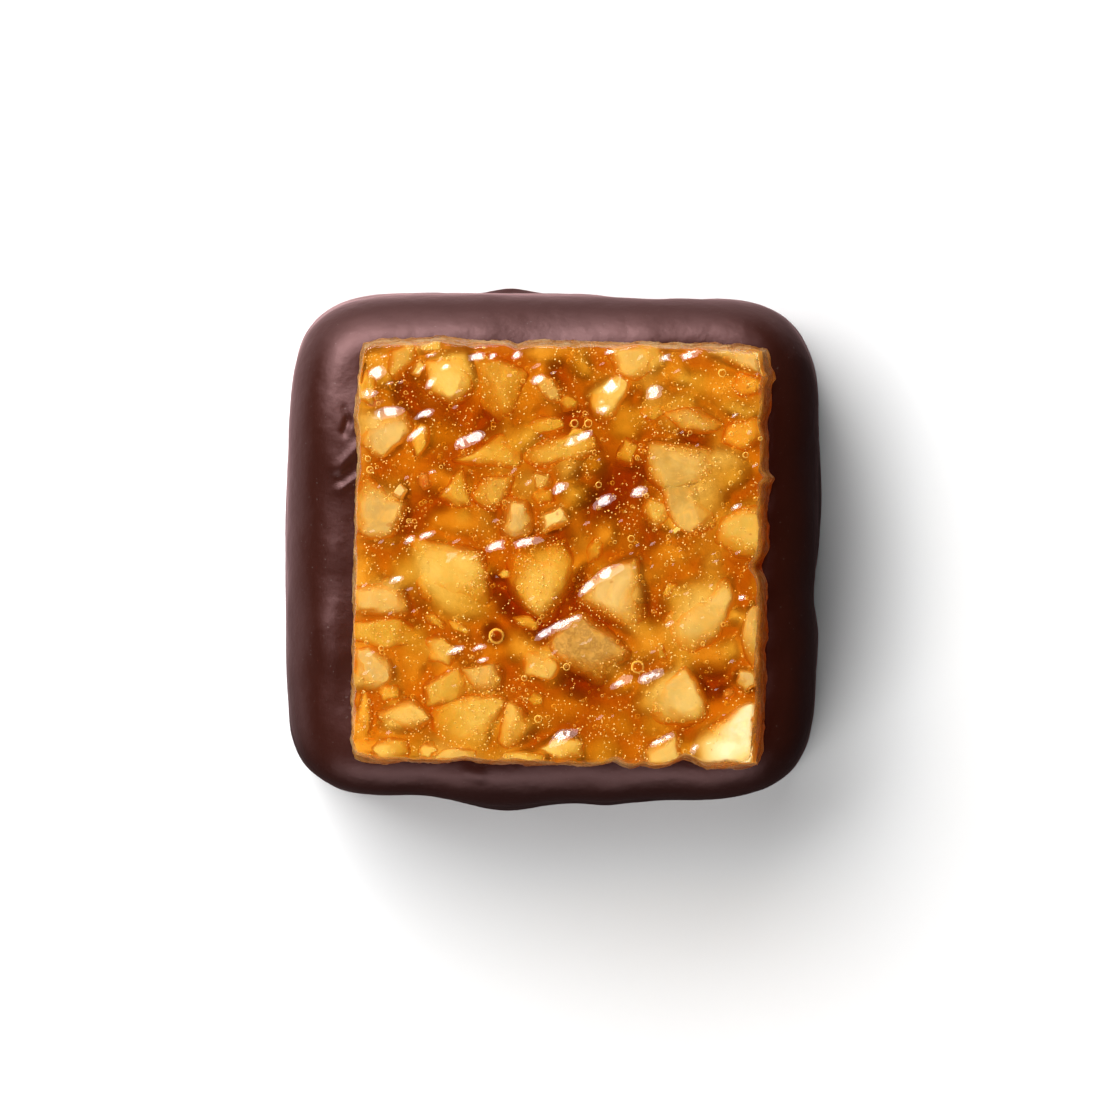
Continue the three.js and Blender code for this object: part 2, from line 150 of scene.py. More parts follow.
# Places where the glaze tilts to the light at the back left, and shines: middle x and y, length,
# width, and direction of the length in degrees
GLINTS = [
    # back left
    (-10.05, 9.2, 1.9, 0.65, 77),
    (-9.25, 7.6, 1.35, 0.5, -5),
    (-7.45, 7.35, 1.0, 0.5, 50),
    (-7.8, 6.45, 1.05, 0.38, 50),
    (-4.95, 6.1, 1.5, 0.55, 25),
    (-7.05, 9.15, 0.6, 0.3, 85),
    (-6.9, 10.7, 0.65, 0.2, 0),
    (-4.4, 10.6, 1.0, 0.4, -5),
    (-3.7, 10.6, 0.45, 0.3, 0),
    (-6.25, 10.0, 0.5, 0.25, -30),
    (-2.4, 10.65, 0.55, 0.35, -40),
    (-1.25, 9.35, 0.6, 0.45, 20),
    (-7.6, 9.85, 0.55, 0.22, 60),
    # back right
    (6.35, 10.6, 2.1, 0.38, 3),
    (2.65, 10.85, 0.65, 0.25, 0),
    (2.45, 8.4, 2.1, 0.42, 77),
    (4.35, 9.35, 0.9, 0.14, 45),
    (5.0, 8.65, 0.8, 0.7, 50),
    (0.95, 6.2, 1.4, 0.45, 25),
    (2.35, 2.85, 0.9, 0.55, 15),
    (-0.05, 3.55, 0.75, 0.5, 10),
    (4.2, 3.3, 0.75, 0.6, 50),
    (9.4, 2.5, 0.65, 0.3, 25),
    (10.1, 6.5, 0.3, 0.25, 0),
    # front left
    (-8.9, -1.4, 0.75, 0.38, 10),
    (-7.6, 0.9, 1.6, 0.38, 12),
    (-2.5, 0.55, 2.7, 0.48, 5),
    (-5.7, -5.2, 0.85, 0.4, 15),
    (-4.4, -5.1, 0.7, 0.4, 10),
    (-4.2, -5.7, 0.6, 0.35, -20),
    (-0.5, -4.1, 1.9, 0.48, 27),
    (0.0, -9.9, 1.3, 0.65, 35),
    (-9.4, -7.0, 0.55, 0.18, 25),
    # front right
    (1.35, -1.85, 1.1, 0.45, 55),
    (2.4, -1.05, 1.3, 0.5, 30),
    (0.55, -3.6, 0.8, 0.35, 45),
    (3.35, -6.85, 1.3, 0.45, 27),
    (4.85, -6.6, 1.4, 0.55, 25),
    (5.45, -10.0, 1.4, 0.35, 28),
    (7.1, -10.55, 0.8, 0.35, 80),
    (9.7, -2.4, 0.55, 0.28, -50),
    (5.8, -3.75, 0.45, 0.25, 20),
]
GLINT_LONGEST = 1.35  # longer ones are broken into several facets
GLINT_CURVE = 0.2  # how much a facet bulges, per millimetre
GLINT_LONG_SHARE = 0.75
SPARKLES = 120  # tiny glints at random places
SPARKLE_REACH = 10.6
SPARKLE_LENGTHS = (0.2, 0.45)
SPARKLE_WIDTH = 0.2
SPARKLE_TURNS = (0, 70)
SPARKLE_SEED = 5
SHINE_WAY = (-0.42, 0.78, 1.04)  # from the praline to the light that its gloss mirrors

# Air bubbles and nut dust, in millimetres
BUBBLE_RADII = (0.045, 0.14)
BUBBLE_SMALLNESS = 4  # the higher, the fewer large ones
BUBBLE_MARGIN = 0.6
BUBBLE_DEEPEST = 1.3
BUBBLE_FILM = 0.03
ROUND_FROM = 0.12  # bubbles of this radius and more get finer meshes
DUST_RADII = (0.022, 0.055)
DUST_MARGIN = 0.5
DUST_DEEPEST = 0.6
DUST_ROOM = 0.1  # none where the caramel over the nuts is shallower
DUST_DRIFTS = [(0.5, 1.5, 61)]
DUST_THINNING = 0.8
# The broadest bubbles: x, y and width
BROAD_BUBBLES = [
    (4.1, -6.1, 0.72),
    (0.27, -6.1, 0.4),
    (-1.25, -8.9, 0.45),
    (-2.0, -6.7, 0.34),
    (2.0, 3.7, 0.34),
    (3.75, 0.8, 0.4),
    (0.7, 7.0, 0.45),
    (1.45, 7.0, 0.45),
    (9.9, 5.3, 0.34),
    (-9.7, -5.1, 0.3),
    (8.65, 9.7, 0.45),
    (-10.4, 5.1, 0.34),
    (-10.3, 4.5, 0.4),
    (-3.5, -4.45, 0.85),
]

# The bed of deep nut pieces, which run together in the dark of the caramel, in millimetres
BED_GRID = 160
BED_INSET = 0.12
BED_DEPTH = 1.3
BED_BLUR = 0.2
BED_BELOW = 0.22  # how far the bed lies under the tops of the pieces that show
BED_GROWTH = 1.06  # how much broader its own copies of those pieces are
BED_GAP = (0.55, 0.23, 0.04)  # colour of the crumbs between the deep pieces
BED_RELIEF = [(0.3, 0.9, 51)]
BED_LEVELS = 6
SUNKEN = 0.6  # pieces this deep under the glaze belong to the bed
SUNKEN_COVER = -0.1
DEEP_LENGTHS = (1.7, 3.3)
DEEP_WIDTHS = (1.3, 2.3)
DEEP_COVERS = (0.45, 1.5)
DEEP_KINDS = ["cream", "gold", "amber"]
# Where the caramel is deepest and darkest: x, y, breadth and extra depth
HOLLOWS_DEEPER = 1.3
HOLLOWS = [
    (-8.2, 8.4, 1.4, 0.6),
    (-6.0, 7.6, 1.3, 0.7),
    (-4.0, 6.8, 0.9, 0.7),
    (-3.3, 2.1, 1.2, 0.5),
    (-6.5, 2.8, 0.9, 0.4),
    (-8.2, 1.4, 1.2, 0.4),
    (3.7, 4.7, 1.5, 0.8),
    (2.2, 2.9, 1.1, 0.6),
    (0.5, 7.3, 0.8, 0.5),
    (7.3, 6.2, 0.8, 0.6),
    (-0.1, 9.8, 0.9, 0.4),
    (-3.1, -1.7, 0.9, 0.8),
    (-2.5, -2.7, 0.9, 0.9),
    (-1.0, -3.7, 0.9, 0.9),
    (-7.6, -3.0, 0.8, 0.4),
    (-3.5, -4.4, 0.6, 0.7),
    (1.0, -2.6, 1.1, 0.9),
    (2.2, -4.0, 0.8, 0.5),
    (4.9, -3.1, 0.8, 0.4),
    (1.3, -6.8, 1.1, 0.7),
    (8.2, -6.8, 1.0, 0.5),
    (0.0, 0.9, 0.9, 0.5),
    (4.2, 0.8, 1.1, 0.4),
]

# Chips of the cut sides: place along the side, how far out, how wide
SIDE_CHIPS = {
    "right": [(-0.5, -0.42, 0.55), (4.3, 0.25, 0.25), (9.8, 0.2, 0.35), (7.2, -0.16, 0.5)],
    "left": [(7.4, 0.14, 0.9), (4.8, -0.12, 1.1), (-10.4, 0.12, 0.8)],
    "back": [(-2.6, -0.2, 0.35), (-6.9, 0.1, 0.8), (4.0, 0.1, 0.8)],
    "front": [
        (6.95, -0.5, 0.7),
        (3.1, -0.24, 0.45),
        (4.6, -0.14, 0.35),
        (-9.8, 0.12, 0.9),
        (-5.0, -0.16, 0.8),
    ],
}

# The broad nut pieces: how high the glaze rises over the piece, how deep the piece lies under the
# glaze, its colour, and its outline's corners, anticlockwise
BROAD_NUTS = [
    # along the back
    (0.08, 0.3, "pale",
     ((-9.4, 9.8), (-8.9, 9.4), (-7.8, 10.3), (-7.7, 10.9), (-8.1, 11.3), (-9.2, 10.9))),
    (0.14, 0.12, "gold",
     ((-7.2, 8.8), (-5.9, 8.0), (-4.8, 8.7), (-4.7, 9.8), (-5.2, 10.8), (-7.2, 10.4))),
    (0.06, 0.5, "pale",
     ((-4.7, 8.7), (-4.4, 7.8), (-3.4, 7.1), (-2.6, 7.4), (-1.8, 9.6), (-3.5, 10.6), (-4.7, 10.5))),
    (0.12, 0.2, "pale",
     ((3.1, 9.7), (4.0, 9.3), (5.2, 9.8), (5.6, 10.5), (5.0, 11.2), (2.6, 11.0))),
    (0.23, 0.16, "gold",
     ((1.5, 8.7), (1.6, 7.8), (2.3, 7.2), (3.0, 7.6), (3.7, 9.0), (2.8, 9.6))),
    (0.14, 0.12, "cream",
     ((8.0, 10.5), (9.5, 10.0), (11.2, 9.3), (11.4, 11.3), (8.0, 11.3))),
    (0.19, 0.16, "cream",
     ((-10.8, 6.0), (-9.6, 5.2), (-8.1, 6.5), (-8.1, 7.1), (-8.7, 7.7), (-10.9, 7.6))),
    # right of the middle
    (0.09, 0.35, "cream",
     ((6.6, 6.7), (8.1, 6.6), (8.7, 7.0), (7.2, 7.8), (6.4, 7.8), (5.6, 7.5))),
    (0.19, 0.16, "tan",
     ((4.9, 5.9), (4.8, 4.3), (5.6, 3.2), (8.4, 3.3), (10.3, 4.5), (9.0, 5.5))),
    (0.17, 0.18, "tan",
     ((5.3, 3.9), (5.9, 1.9), (7.0, 1.1), (8.3, 1.4), (8.8, 2.6), (8.5, 4.2))),
    (0.20, 0.2, "gold",
     ((8.3, 0.7), (9.4, -0.2), (10.9, -0.1), (10.8, 2.4), (9.8, 2.7), (8.8, 2.1))),
    (0.17, 0.16, "pale",
     ((5.4, -3.7), (5.7, -5.1), (6.9, -5.7), (8.3, -4.6), (9.1, -2.5), (8.8, -1.3), (6.8, -1.7))),
    (0.13, 0.2, "cream",
     ((9.8, -3.8), (9.8, -5.2), (10.4, -6.2), (11.1, -5.7), (11.1, -3.1), (10.3, -2.9))),
    # left of the middle
    (0.08, 0.34, "gold",
     ((-5.2, 4.8), (-2.4, 4.6), (-2.2, 5.3), (-2.3, 6.2), (-3.1, 6.6), (-5.7, 5.1))),
    (0.07, 0.36, "gold",
     ((-1.2, 4.6), (1.0, 4.9), (1.9, 5.6), (1.7, 6.3), (0.7, 6.6), (-1.7, 5.8), (-2.1, 5.2))),
    (0.19, 0.16, "cream",
     ((-11.0, 1.5), (-10.3, 0.8), (-9.1, 0.9), (-8.4, 2.7), (-10.5, 4.2), (-11.0, 3.1))),
    (0.08, 0.4, "gold",
     ((-6.1, 3.9), (-6.6, 3.1), (-5.6, 2.5), (-4.9, 2.7), (-5.3, 4.6))),
    (0.08, 0.4, "pale",
     ((-4.5, 2.6), (-3.8, 2.3), (-3.0, 2.8), (-2.5, 3.8), (-2.8, 4.2), (-4.2, 4.0), (-4.9, 3.1))),
    (0.19, 0.14, "cream",
     ((-3.1, 1.3), (-2.5, 0.9), (-1.8, 1.1), (-1.6, 1.6), (-1.9, 2.8), (-2.8, 2.9))),
    (0.23, 0.2, "gold",
     ((-8.0, -1.0), (-7.4, -2.5), (-6.3, -3.4), (-4.2, -3.3), (-3.9, -2.3), (-4.4, 0.0), (-8.2, 0.9))),
    (0.15, 0.18, "cream",
     ((-11.0, -3.1), (-9.6, -3.3), (-8.3, -3.1), (-8.8, -1.3), (-9.7, -1.3), (-11.0, -1.8))),
    # middle
    (0.21, 0.26, "gold",
     ((-2.8, -1.4), (-2.1, -2.7), (-0.9, -3.4), (0.4, -1.6), (0.7, -0.3), (-0.1, 0.6), (-2.8, 0.0))),
    (0.25, 0.12, "cream",
     ((4.2, -4.5), (4.6, -4.3), (4.5, -2.5), (4.1, -0.4), (3.1, -0.6), (1.6, -1.4), (1.1, -2.6))),
    (0.22, 0.08, "veined",
     ((-0.5, -5.5), (2.0, -7.0), (3.1, -6.1), (3.7, -5.2), (2.1, -3.9), (1.1, -3.2), (-0.5, -4.4))),
    (0.13, 0.24, "pale",
     ((-2.0, -6.5), (-0.5, -6.8), (-0.1, -6.2), (-0.5, -4.8), (-2.0, -5.2))),
    # along the front
    (0.20, 0.14, "cream",
     ((-11.1, -7.2), (-10.1, -7.3), (-9.2, -6.7), (-9.2, -6.0), (-10.1, -5.1), (-11.1, -5.2))),
    (0.06, 0.4, "gold",
     ((-11.0, -4.7), (-9.9, -5.1), (-8.2, -4.9), (-7.4, -4.5), (-8.6, -3.5), (-11.0, -3.7))),
    (0.08, 0.3, "pale",
     ((-7.2, -5.7), (-6.0, -6.0), (-5.6, -5.2), (-6.5, -4.4), (-7.3, -4.7))),
    (0.10, 0.3, "gold",
     ((-7.2, -8.2), (-5.2, -7.9), (-4.8, -7.3), (-5.5, -6.1), (-6.0, -6.2), (-7.3, -7.0))),
    (0.12, 0.22, "cream",
     ((-4.7, -7.4), (-3.5, -7.3), (-3.3, -6.5), (-3.6, -5.9), (-5.5, -6.2))),
    (0.17, 0.2, "pale",
     ((-9.4, -9.5), (-7.8, -9.5), (-7.0, -8.9), (-8.1, -7.9), (-9.0, -8.1), (-9.8, -8.6))),
    (0.12, 0.26, "gold",
     ((-6.0, -10.9), (-4.0, -10.6), (-3.3, -8.8), (-2.9, -7.8), (-4.7, -7.6), (-6.9, -8.3), (-6.8, -9.7))),
    (0.10, 0.28, "pale",
     ((-3.4, -10.0), (-2.9, -10.7), (-2.2, -10.2), (-1.5, -9.2), (-2.0, -8.4), (-2.9, -8.1))),
    (0.24, 0.12, "pale",
     ((3.9, -8.2), (5.3, -9.2), (7.4, -9.0), (7.8, -8.4), (7.5, -7.3), (6.5, -5.9), (4.5, -7.3))),
    (0.18, 0.12, "pale",
     ((4.9, -11.5), (6.1, -11.2), (6.3, -10.6), (6.1, -9.7), (4.6, -10.5))),
    (0.26, 0.0, "dry",
     ((7.5, -11.1), (8.8, -12.0), (11.3, -11.9), (11.2, -8.6), (10.2, -8.1), (8.6, -8.9), (7.3, -10.0))),
]

# The small nut pieces: middle x and y, length, width, direction of the length in degrees, number
# of corners, rise of the glaze, depth under the glaze, and colour
SMALL_NUTS = [
    (-10.5, 8.9, 2.2, 1.2, 80, 4, 0.11, 0.5, "gold"),
    (-7.6, 6.2, 1.9, 1.0, 80, 5, 0.08, 0.4, "gold"),
    (-0.7, 8.9, 1.7, 1.0, -50, 6, 0.08, 0.25, "cream"),
    (9.8, 6.4, 2.4, 1.9, 30, 5, 0.09, 0.4, "amber"),
    (9.9, -6.8, 1.2, 1.0, 90, 5, 0.12, 0.1, "cream"),
    (-8.7, 3.3, 1.0, 0.7, 60, 4, 0.08, 0.02, "cream"),
    (-0.4, 1.8, 1.9, 1.2, 25, 4, 0.17, 0.05, "pale"),
    (-9.2, -10.5, 1.9, 1.1, 5, 7, 0.11, 0.2, "gold"),
    (0.1, -10.5, 2.5, 1.1, 0, 5, 0.12, 0.15, "gold"),
    (5.1, 2.3, 1.9, 1.4, -60, 5, 0.06, 0.25, "gold"),
    (-9.9, 10.4, 1.8, 1.4, 20, 5, 0.00, 0.6, "amber"),
    (-7.2, 11.2, 1.5, 0.8, 0, 5, 0.06, 0.25, "gold"),
    (-7.7, 10.0, 1.1, 0.6, 60, 4, 0.06, 0.2, "pale"),
    (-6.1, 6.9, 0.7, 0.6, 0, 5, 0.00, 0.9, "amber"),
    (-5.5, 7.7, 0.8, 0.6, 20, 5, 0.00, 0.9, "amber"),
    (-8.0, 4.9, 2.7, 1.8, 0, 6, 0.00, 1.1, "amber"),
    (-0.5, 10.7, 2.7, 1.1, 0, 5, 0.00, 0.6, "amber"),
    (1.0, 10.1, 2.2, 1.9, -90, 3, 0.00, 0.6, "gold"),
    (0.4, 8.1, 1.2, 0.7, -15, 5, 0.00, 0.5, "gold"),
    (-1.6, 8.2, 1.8, 1.3, 30, 5, 0.00, 0.9, "amber"),
    (-1.0, 6.9, 2.2, 0.9, 5, 5, 0.00, 0.5, "gold"),
    (0.9, 6.4, 1.1, 0.7, 0, 5, 0.00, 0.4, "gold"),
    (3.6, 5.5, 1.7, 1.3, 60, 4, 0.00, 0.55, "gold"),
    (1.9, 4.7, 0.8, 0.6, 0, 5, 0.00, 0.7, "gold"),
    (8.6, 9.2, 3.2, 1.9, 0, 5, 0.00, 0.7, "amber"),
    (10.0, 9.1, 1.9, 1.6, 0, 5, 0.00, 0.45, "amber"),
    (9.5, 7.8, 2.2, 0.9, -15, 5, 0.00, 0.6, "gold"),
    (4.9, 7.7, 1.5, 1.0, 20, 5, 0.00, 0.5, "gold"),
    (6.5, 9.4, 1.1, 1.0, 0, 5, 0.00, 0.6, "gold"),
    (5.7, -0.2, 2.5, 1.8, -15, 5, 0.00, 0.8, "amber"),
    (6.2, 1.3, 0.8, 0.4, 40, 4, 0.04, 0.1, "gold"),
    (7.7, -5.4, 3.1, 1.6, 0, 6, 0.00, 0.7, "amber"),
    (5.8, -1.9, 1.0, 0.8, 60, 4, 0.00, 0.5, "gold"),
    (9.3, -3.3, 1.1, 0.8, 0, 5, 0.00, 0.6, "gold"),
    (-9.6, -0.4, 2.4, 1.4, 0, 5, 0.00, 1.1, "amber"),
    (-5.4, 2.2, 1.4, 1.1, -60, 5, 0.00, 0.7, "gold"),
    (-1.1, 3.9, 1.0, 0.8, 0, 4, 0.06, 0.3, "cream"),
    (-1.0, 3.1, 1.3, 1.1, 0, 5, 0.00, 0.55, "gold"),
    (0.8, 3.1, 2.1, 1.6, 10, 5, 0.00, 0.65, "gold"),
    (2.5, 1.5, 1.9, 1.3, -60, 5, 0.00, 0.8, "amber"),
    (0.5, 0.8, 2.1, 1.0, 0, 5, 0.00, 1.1, "amber"),
    (1.8, 0.2, 1.6, 0.8, 60, 5, 0.00, 0.5, "gold"),
    (-9.3, -7.5, 1.3, 1.1, 0, 5, 0.00, 0.4, "gold"),
    (-8.1, -5.8, 1.9, 1.7, 0, 5, 0.00, 0.8, "amber"),
    (-10.7, -9.0, 3.2, 0.8, 85, 6, 0.07, 0.35, "amber"),
    (-10.6, -10.3, 2.1, 1.3, 0, 5, 0.00, 0.5, "amber"),
    (-7.2, -10.6, 1.1, 0.8, 20, 6, 0.06, 0.2, "gold"),
    (-5.7, -10.9, 2.1, 0.7, 0, 7, 0.06, 0.2, "pale"),
    (0.2, -8.3, 3.0, 1.9, 10, 6, 0.00, 1.0, "amber"),
    (-1.4, -7.9, 0.9, 0.7, 0, 5, 0.00, 0.5, "gold"),
    (-2.1, -11.0, 2.4, 0.7, 0, 7, 0.06, 0.22, "gold"),
    (2.8, -9.0, 2.7, 2.5, 30, 6, 0.00, 1.4, "amber"),
    (8.3, -5.9, 2.5, 1.6, 10, 5, 0.00, 0.8, "amber"),
    (9.6, -8.2, 2.2, 1.6, 0, 5, 0.00, 0.8, "amber"),
    (5.4, -5.2, 1.4, 0.6, 100, 4, 0.00, 0.45, "pale"),
    (4.4, -5.3, 1.4, 1.0, 0, 5, 0.00, 0.9, "gold"),
    (-4.1, -1.1, 1.5, 1.0, 50, 5, 0.00, 0.7, "gold"),
    (-6.8, -3.6, 1.3, 0.7, -30, 5, 0.00, 0.5, "gold"),
    (-5.5, -4.0, 1.3, 0.6, -30, 5, 0.00, 0.4, "gold"),
    (-3.4, -2.7, 2.0, 1.3, 30, 5, 0.00, 0.7, "amber"),
    (-3.1, -1.1, 0.6, 0.45, 0, 5, 0.00, 0.35, "gold"),
    (-7.4, 3.9, 0.9, 0.7, 90, 5, 0.00, 0.45, "skin"),
    (9.0, -7.5, 0.7, 0.5, 30, 5, 0.00, 0.3, "skin"),
    (-1.9, -3.7, 1.2, 0.6, -20, 5, 0.00, 0.5, "gold"),
    (6.6, 8.3, 1.6, 0.9, 0, 5, 0.00, 0.7, "gold"),
    (3.6, 7.2, 2.2, 1.8, 0, 5, 0.00, 0.8, "gold"),
    (8.9, 3.9, 2.2, 1.2, 20, 5, 0.00, 0.6, "gold"),
    (6.2, -2.4, 1.7, 1.6, 0, 5, 0.00, 0.6, "gold"),
]
NUT_COLOURS = {
    "dry": (0.74, 0.57, 0.30),
    "cream": (0.53, 0.34, 0.115),
    "tan": (0.48, 0.30, 0.08),
    "pale": (0.59, 0.39, 0.115),
    "gold": (0.60, 0.40, 0.095),
    "amber": (0.71, 0.38, 0.06),
    "veined": (0.40, 0.20, 0.03),
    "skin": (0.50, 0.13, 0.03),
}
NUT_SHADES = 0.07  # how much pieces of one colour differ in brightness
NUT_FLATNESS = 0.8
NUT_THICKEST = 2.3
NUT_TILT = math.radians(10)
NUT_FACET = 0.4  # rise of the facet that cuts one side of a piece's top
NUT_SIDE_SLOPE = 0.35
NUT_SHARPNESS = 14
NUT_DOME = 3.8  # how squarely the sides meet the top
NUT_OUTLINE_GROWTH = 1.13
NUT_ROUGHNESS = [(0.1, 1.2, 11), (0.06, 0.5, 11), (0.03, 0.24, 11)]  # height, breadth and seed
NUT_CUT_PROUD = -0.04  # how far a nut's cut face stands out of the caramel's cut side
NUT_LOWEST = 0.03
FINE_NUTS_FROM = 1.9  # pieces broader than this get finer meshes

# Colours of the finishes
WHITE = (1.0, 1.0, 1.0, 1.0)
COCOA_DUST = (0.14, 0.11, 0.10, 1.0)
SATIN = (0.97, 0.60, 0.61, 1.0)
NUT_CLOUDS = (0.36, 0.24, 0.10, 1.0)
NUT_MOTTLE = (0.26, 0.20, 0.11, 1.0)
# painted shade: amber for the steep sides of the nuts, in place of their shading under the caramel
NUT_SIDES_PAINTED_SHADE = (0.92, 0.50, 0.09, 1.0)
NUT_VEINS = (0.25, 0.11, 0.02, 1.0)
NUT_SPECKS = (0.42, 0.16, 0.03, 1.0)
NUT_GLOW = (0.78, 0.45, 0.10, 1.0)
BED_GRAINS = (0.95, 0.62, 0.20, 1.0)
BED_GLOW = (0.62, 0.40, 0.12, 1.0)
KERNEL_DARK = (0.76, 0.45, 0.12, 1.0)
KERNEL_PALE = (0.96, 0.74, 0.38, 1.0)
KERNEL_GAPS = (0.62, 0.28, 0.05, 1.0)
CRUST_GLOW = (0.80, 0.50, 0.18, 1.0)
DUST_DARK = (1.0, 0.50, 0.10, 1.0)
DUST_PALE = (1.0, 0.78, 0.34, 1.0)
# painted reflection: the gold of the bubbles' rims
BUBBLE_PAINTED_REFLECTION = (1.0, 0.62, 0.16, 1.0)
CARAMEL_DEPTH = (0.892, 0.733, 0.225, 1.0)
CARAMEL_PANE = (0.95, 0.95, 0.95, 1.0)
FLOOR_SEEN = (0.77, 0.77, 0.77, 1.0)
# painted shade: the floor as bounced light sees it, nearly black
FLOOR_PAINTED_SHADE = (0.04, 0.04, 0.04, 1.0)
# painted light: the floor's lit tone in the coat's mirror
FLOOR_PAINTED_LIGHT = (0.44, 0.44, 0.44, 1.0)

# The stage
STUDIO_DIM = 0.006  # strength of the backdrop's light on the praline
BACKDROP_FROM, BACKDROP_TO = 70.0, 220.0  # millimetres over which the floor turns into it
SENSOR = 36
CAMERA_AT = (-0.17 * MM, -0.06 * MM)
# The soft boxes: name, direction, distance, width and height, strength, and what each does: it
# lights surfaces (glow), is mirrored in them (shine), or is mirrored in the coat alone (coat shine)
SOFT_BOXES = [
    ("key", (-0.60, 0.64, 1.04), 0.30, (0.26, 0.26), 1.52, "glow"),
    ("shine_box", SHINE_WAY, 0.30, (0.21, 0.21), 0.55, "shine"),
    ("shine_core", SHINE_WAY, 0.29, (0.07, 0.07), 0.28, "shine"),
    ("back_box", (-0.1, 1.0, 0.6), 0.5, (0.5, 0.5), 1.7, "glow"),
    ("back_shine", (-0.4, 1.0, 0.62), 0.5, (0.6, 0.76), 4.7, "coat shine"),
    ("back_window", (-0.4, 1.0, 0.5), 0.5, (0.3, 0.3), 0.12, "shine"),
    ("front_fill", (-0.6, -0.9, 1.2), 0.6, (0.4, 0.4), 2.5, "glow"),
    ("front_shine", (-0.1, -1.0, 0.22), 0.5, (0.5, 0.34), 1.3, "coat shine"),
    ("front_window", (0.3, -1.0, 0.4), 0.5, (0.3, 0.3), 0.12, "shine"),
]
LIT_MIDDLE = (0, 0, 0.01)  # where the soft boxes face
BOUNCES = {
    "transparent_max_bounces": 24,
    "max_bounces": 7,
    "diffuse_bounces": 2,
    "glossy_bounces": 3,
    "transmission_bounces": 6,
}


# ---------------------------------------------------------------- settings


def length_property(name, description, default):
    return FloatProperty(name=name, description=description, default=default, min=0.0, unit="LENGTH")


def colour_property(name, description, default):
    return FloatVectorProperty(
        name=name, description=description, default=default, size=4, min=0.0, max=1.0, subtype="COLOR"
    )


class CoatSettings(bpy.types.PropertyGroup):
    wide: length_property("Width", "Width of the coat at its widest level", 29.8 * MM)
    deep: length_property("Depth", "Depth of the coat at its widest level", 28.5 * MM)
    cocoa: colour_property("Cocoa", "Colour of the dark chocolate", (0.0315, 0.0080, 0.0054, 1.0))
    sheen: FloatProperty(
        name="Roughness", description="Roughness of the satin", default=0.42, min=0.0, max=1.0
    )


class NutSettings(bpy.types.PropertyGroup):
    streak: colour_property("Streak", "Colour of the streaks in a nut", (0.80, 0.44, 0.10, 1.0))
    deep_count: IntProperty(name="Deep pieces", description="Deep pieces to scatter", default=240, min=0)
    seed: IntProperty(name="Seed", description="Draws the shapes and the low pieces", default=7)


class CaramelSettings(bpy.types.PropertyGroup):
    wide: length_property("Width", "Width of the slab at its underside", 22.5 * MM)
    deep: length_property("Depth", "Depth of the slab at its underside", 23.1 * MM)
    bubbles: IntProperty(name="Bubbles", description="Small bubbles to place", default=2200, min=0)
    dust: IntProperty(name="Dust", description="Grains of nut dust to place", default=7000, min=0)
    seed: IntProperty(name="Seed", description="Draws the bubbles and the dust", default=21)


class StageSettings(bpy.types.PropertyGroup):
    camera_height: length_property("Camera height", "Height of the camera over the floor", 350 * MM)
    lens: FloatProperty(name="Lens", description="Focal length of the camera", default=202.7, unit="CAMERA")
    floor_size: length_property("Floor", "Side of the floor", 4.0)


# ---------------------------------------------------------------- shape helpers


def bell(distance, spread):
    return np.exp(-((distance / spread) ** 2))


def ease(share):
    share = np.clip(share, 0.0, 1.0)
    return share * share * (3 - 2 * share)


def drift(points, size, seed):
    """A smooth random field from -1 to 1, with lumps about as broad as size."""
    lattice = np.random.default_rng(seed).uniform(-1, 1, (32, 32, 32))
    place = np.asarray(points, float) / size
    cell = np.floor(place).astype(int)
    inside = ease(place - cell)
    total = np.zeros(len(place))
    for corner in np.ndindex(2, 2, 2):
        weight = np.prod(np.where(corner, inside, 1 - inside), axis=1)
        at = (cell + corner) % 32
        total += weight * lattice[at[:, 0], at[:, 1], at[:, 2]]
    return total


def drifts(points, layers):
    """Smooth random fields laid over each other, each with its height, breadth and seed."""
    return sum(height * drift(points, size, seed) for height, size, seed in layers)


def on_plane(x, y):
    """Points at x and y on the level 0."""
    return np.stack([x, y, 0 * x], axis=1)


def make_piece(name, points, faces, matrix=None, ends=()):
    """A smooth-shaded mesh object that rides on the praline, from points in millimetres."""
    mesh = bpy.data.meshes.new(name)
    mesh.from_pydata((np.asarray(points) * MM).tolist(), [], [*np.asarray(faces).tolist(), *ends])
    if matrix is not None:
        mesh.transform(matrix)
    mesh.shade_smooth()
    piece = bpy.data.objects.new(name, mesh)
    bpy.context.scene.collection.objects.link(piece)
    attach(piece, "root")
    return piece


def slab_matrix():
    """From the slab's own place to the praline's."""
    at = Vector((SLAB_AT[0], SLAB_AT[1], SLAB_BASE)) * MM
    return Matrix.Translation(at) @ Matrix.Rotation(SLAB_TURN, 4, "Z")


def in_slab_axes(x, y):
    """Places along the coat's axes, given along the slab's own, which is turned a little."""
    c, s = math.cos(SLAB_TURN), math.sin(SLAB_TURN)
    return c * x + s * y, c * y - s * x


def lofted_faces(rings, round_count):
    """Quads between closed rings of points."""
    level, turn = np.meshgrid(np.arange(rings - 1), np.arange(round_count), indexing="ij")
    a = (level * round_count + turn).ravel()
    b = (level * round_count + (turn + 1) % round_count).ravel()
    return np.stack([a, b, b + round_count, a + round_count], axis=1)


def give_attribute(piece, name, values, kind="FLOAT", field="value"):
    attribute = piece.data.attributes.new(name, kind, "POINT")
    attribute.data.foreach_set(field, np.asarray(values, np.float32).ravel())


# ---------------------------------------------------------------- shader helpers


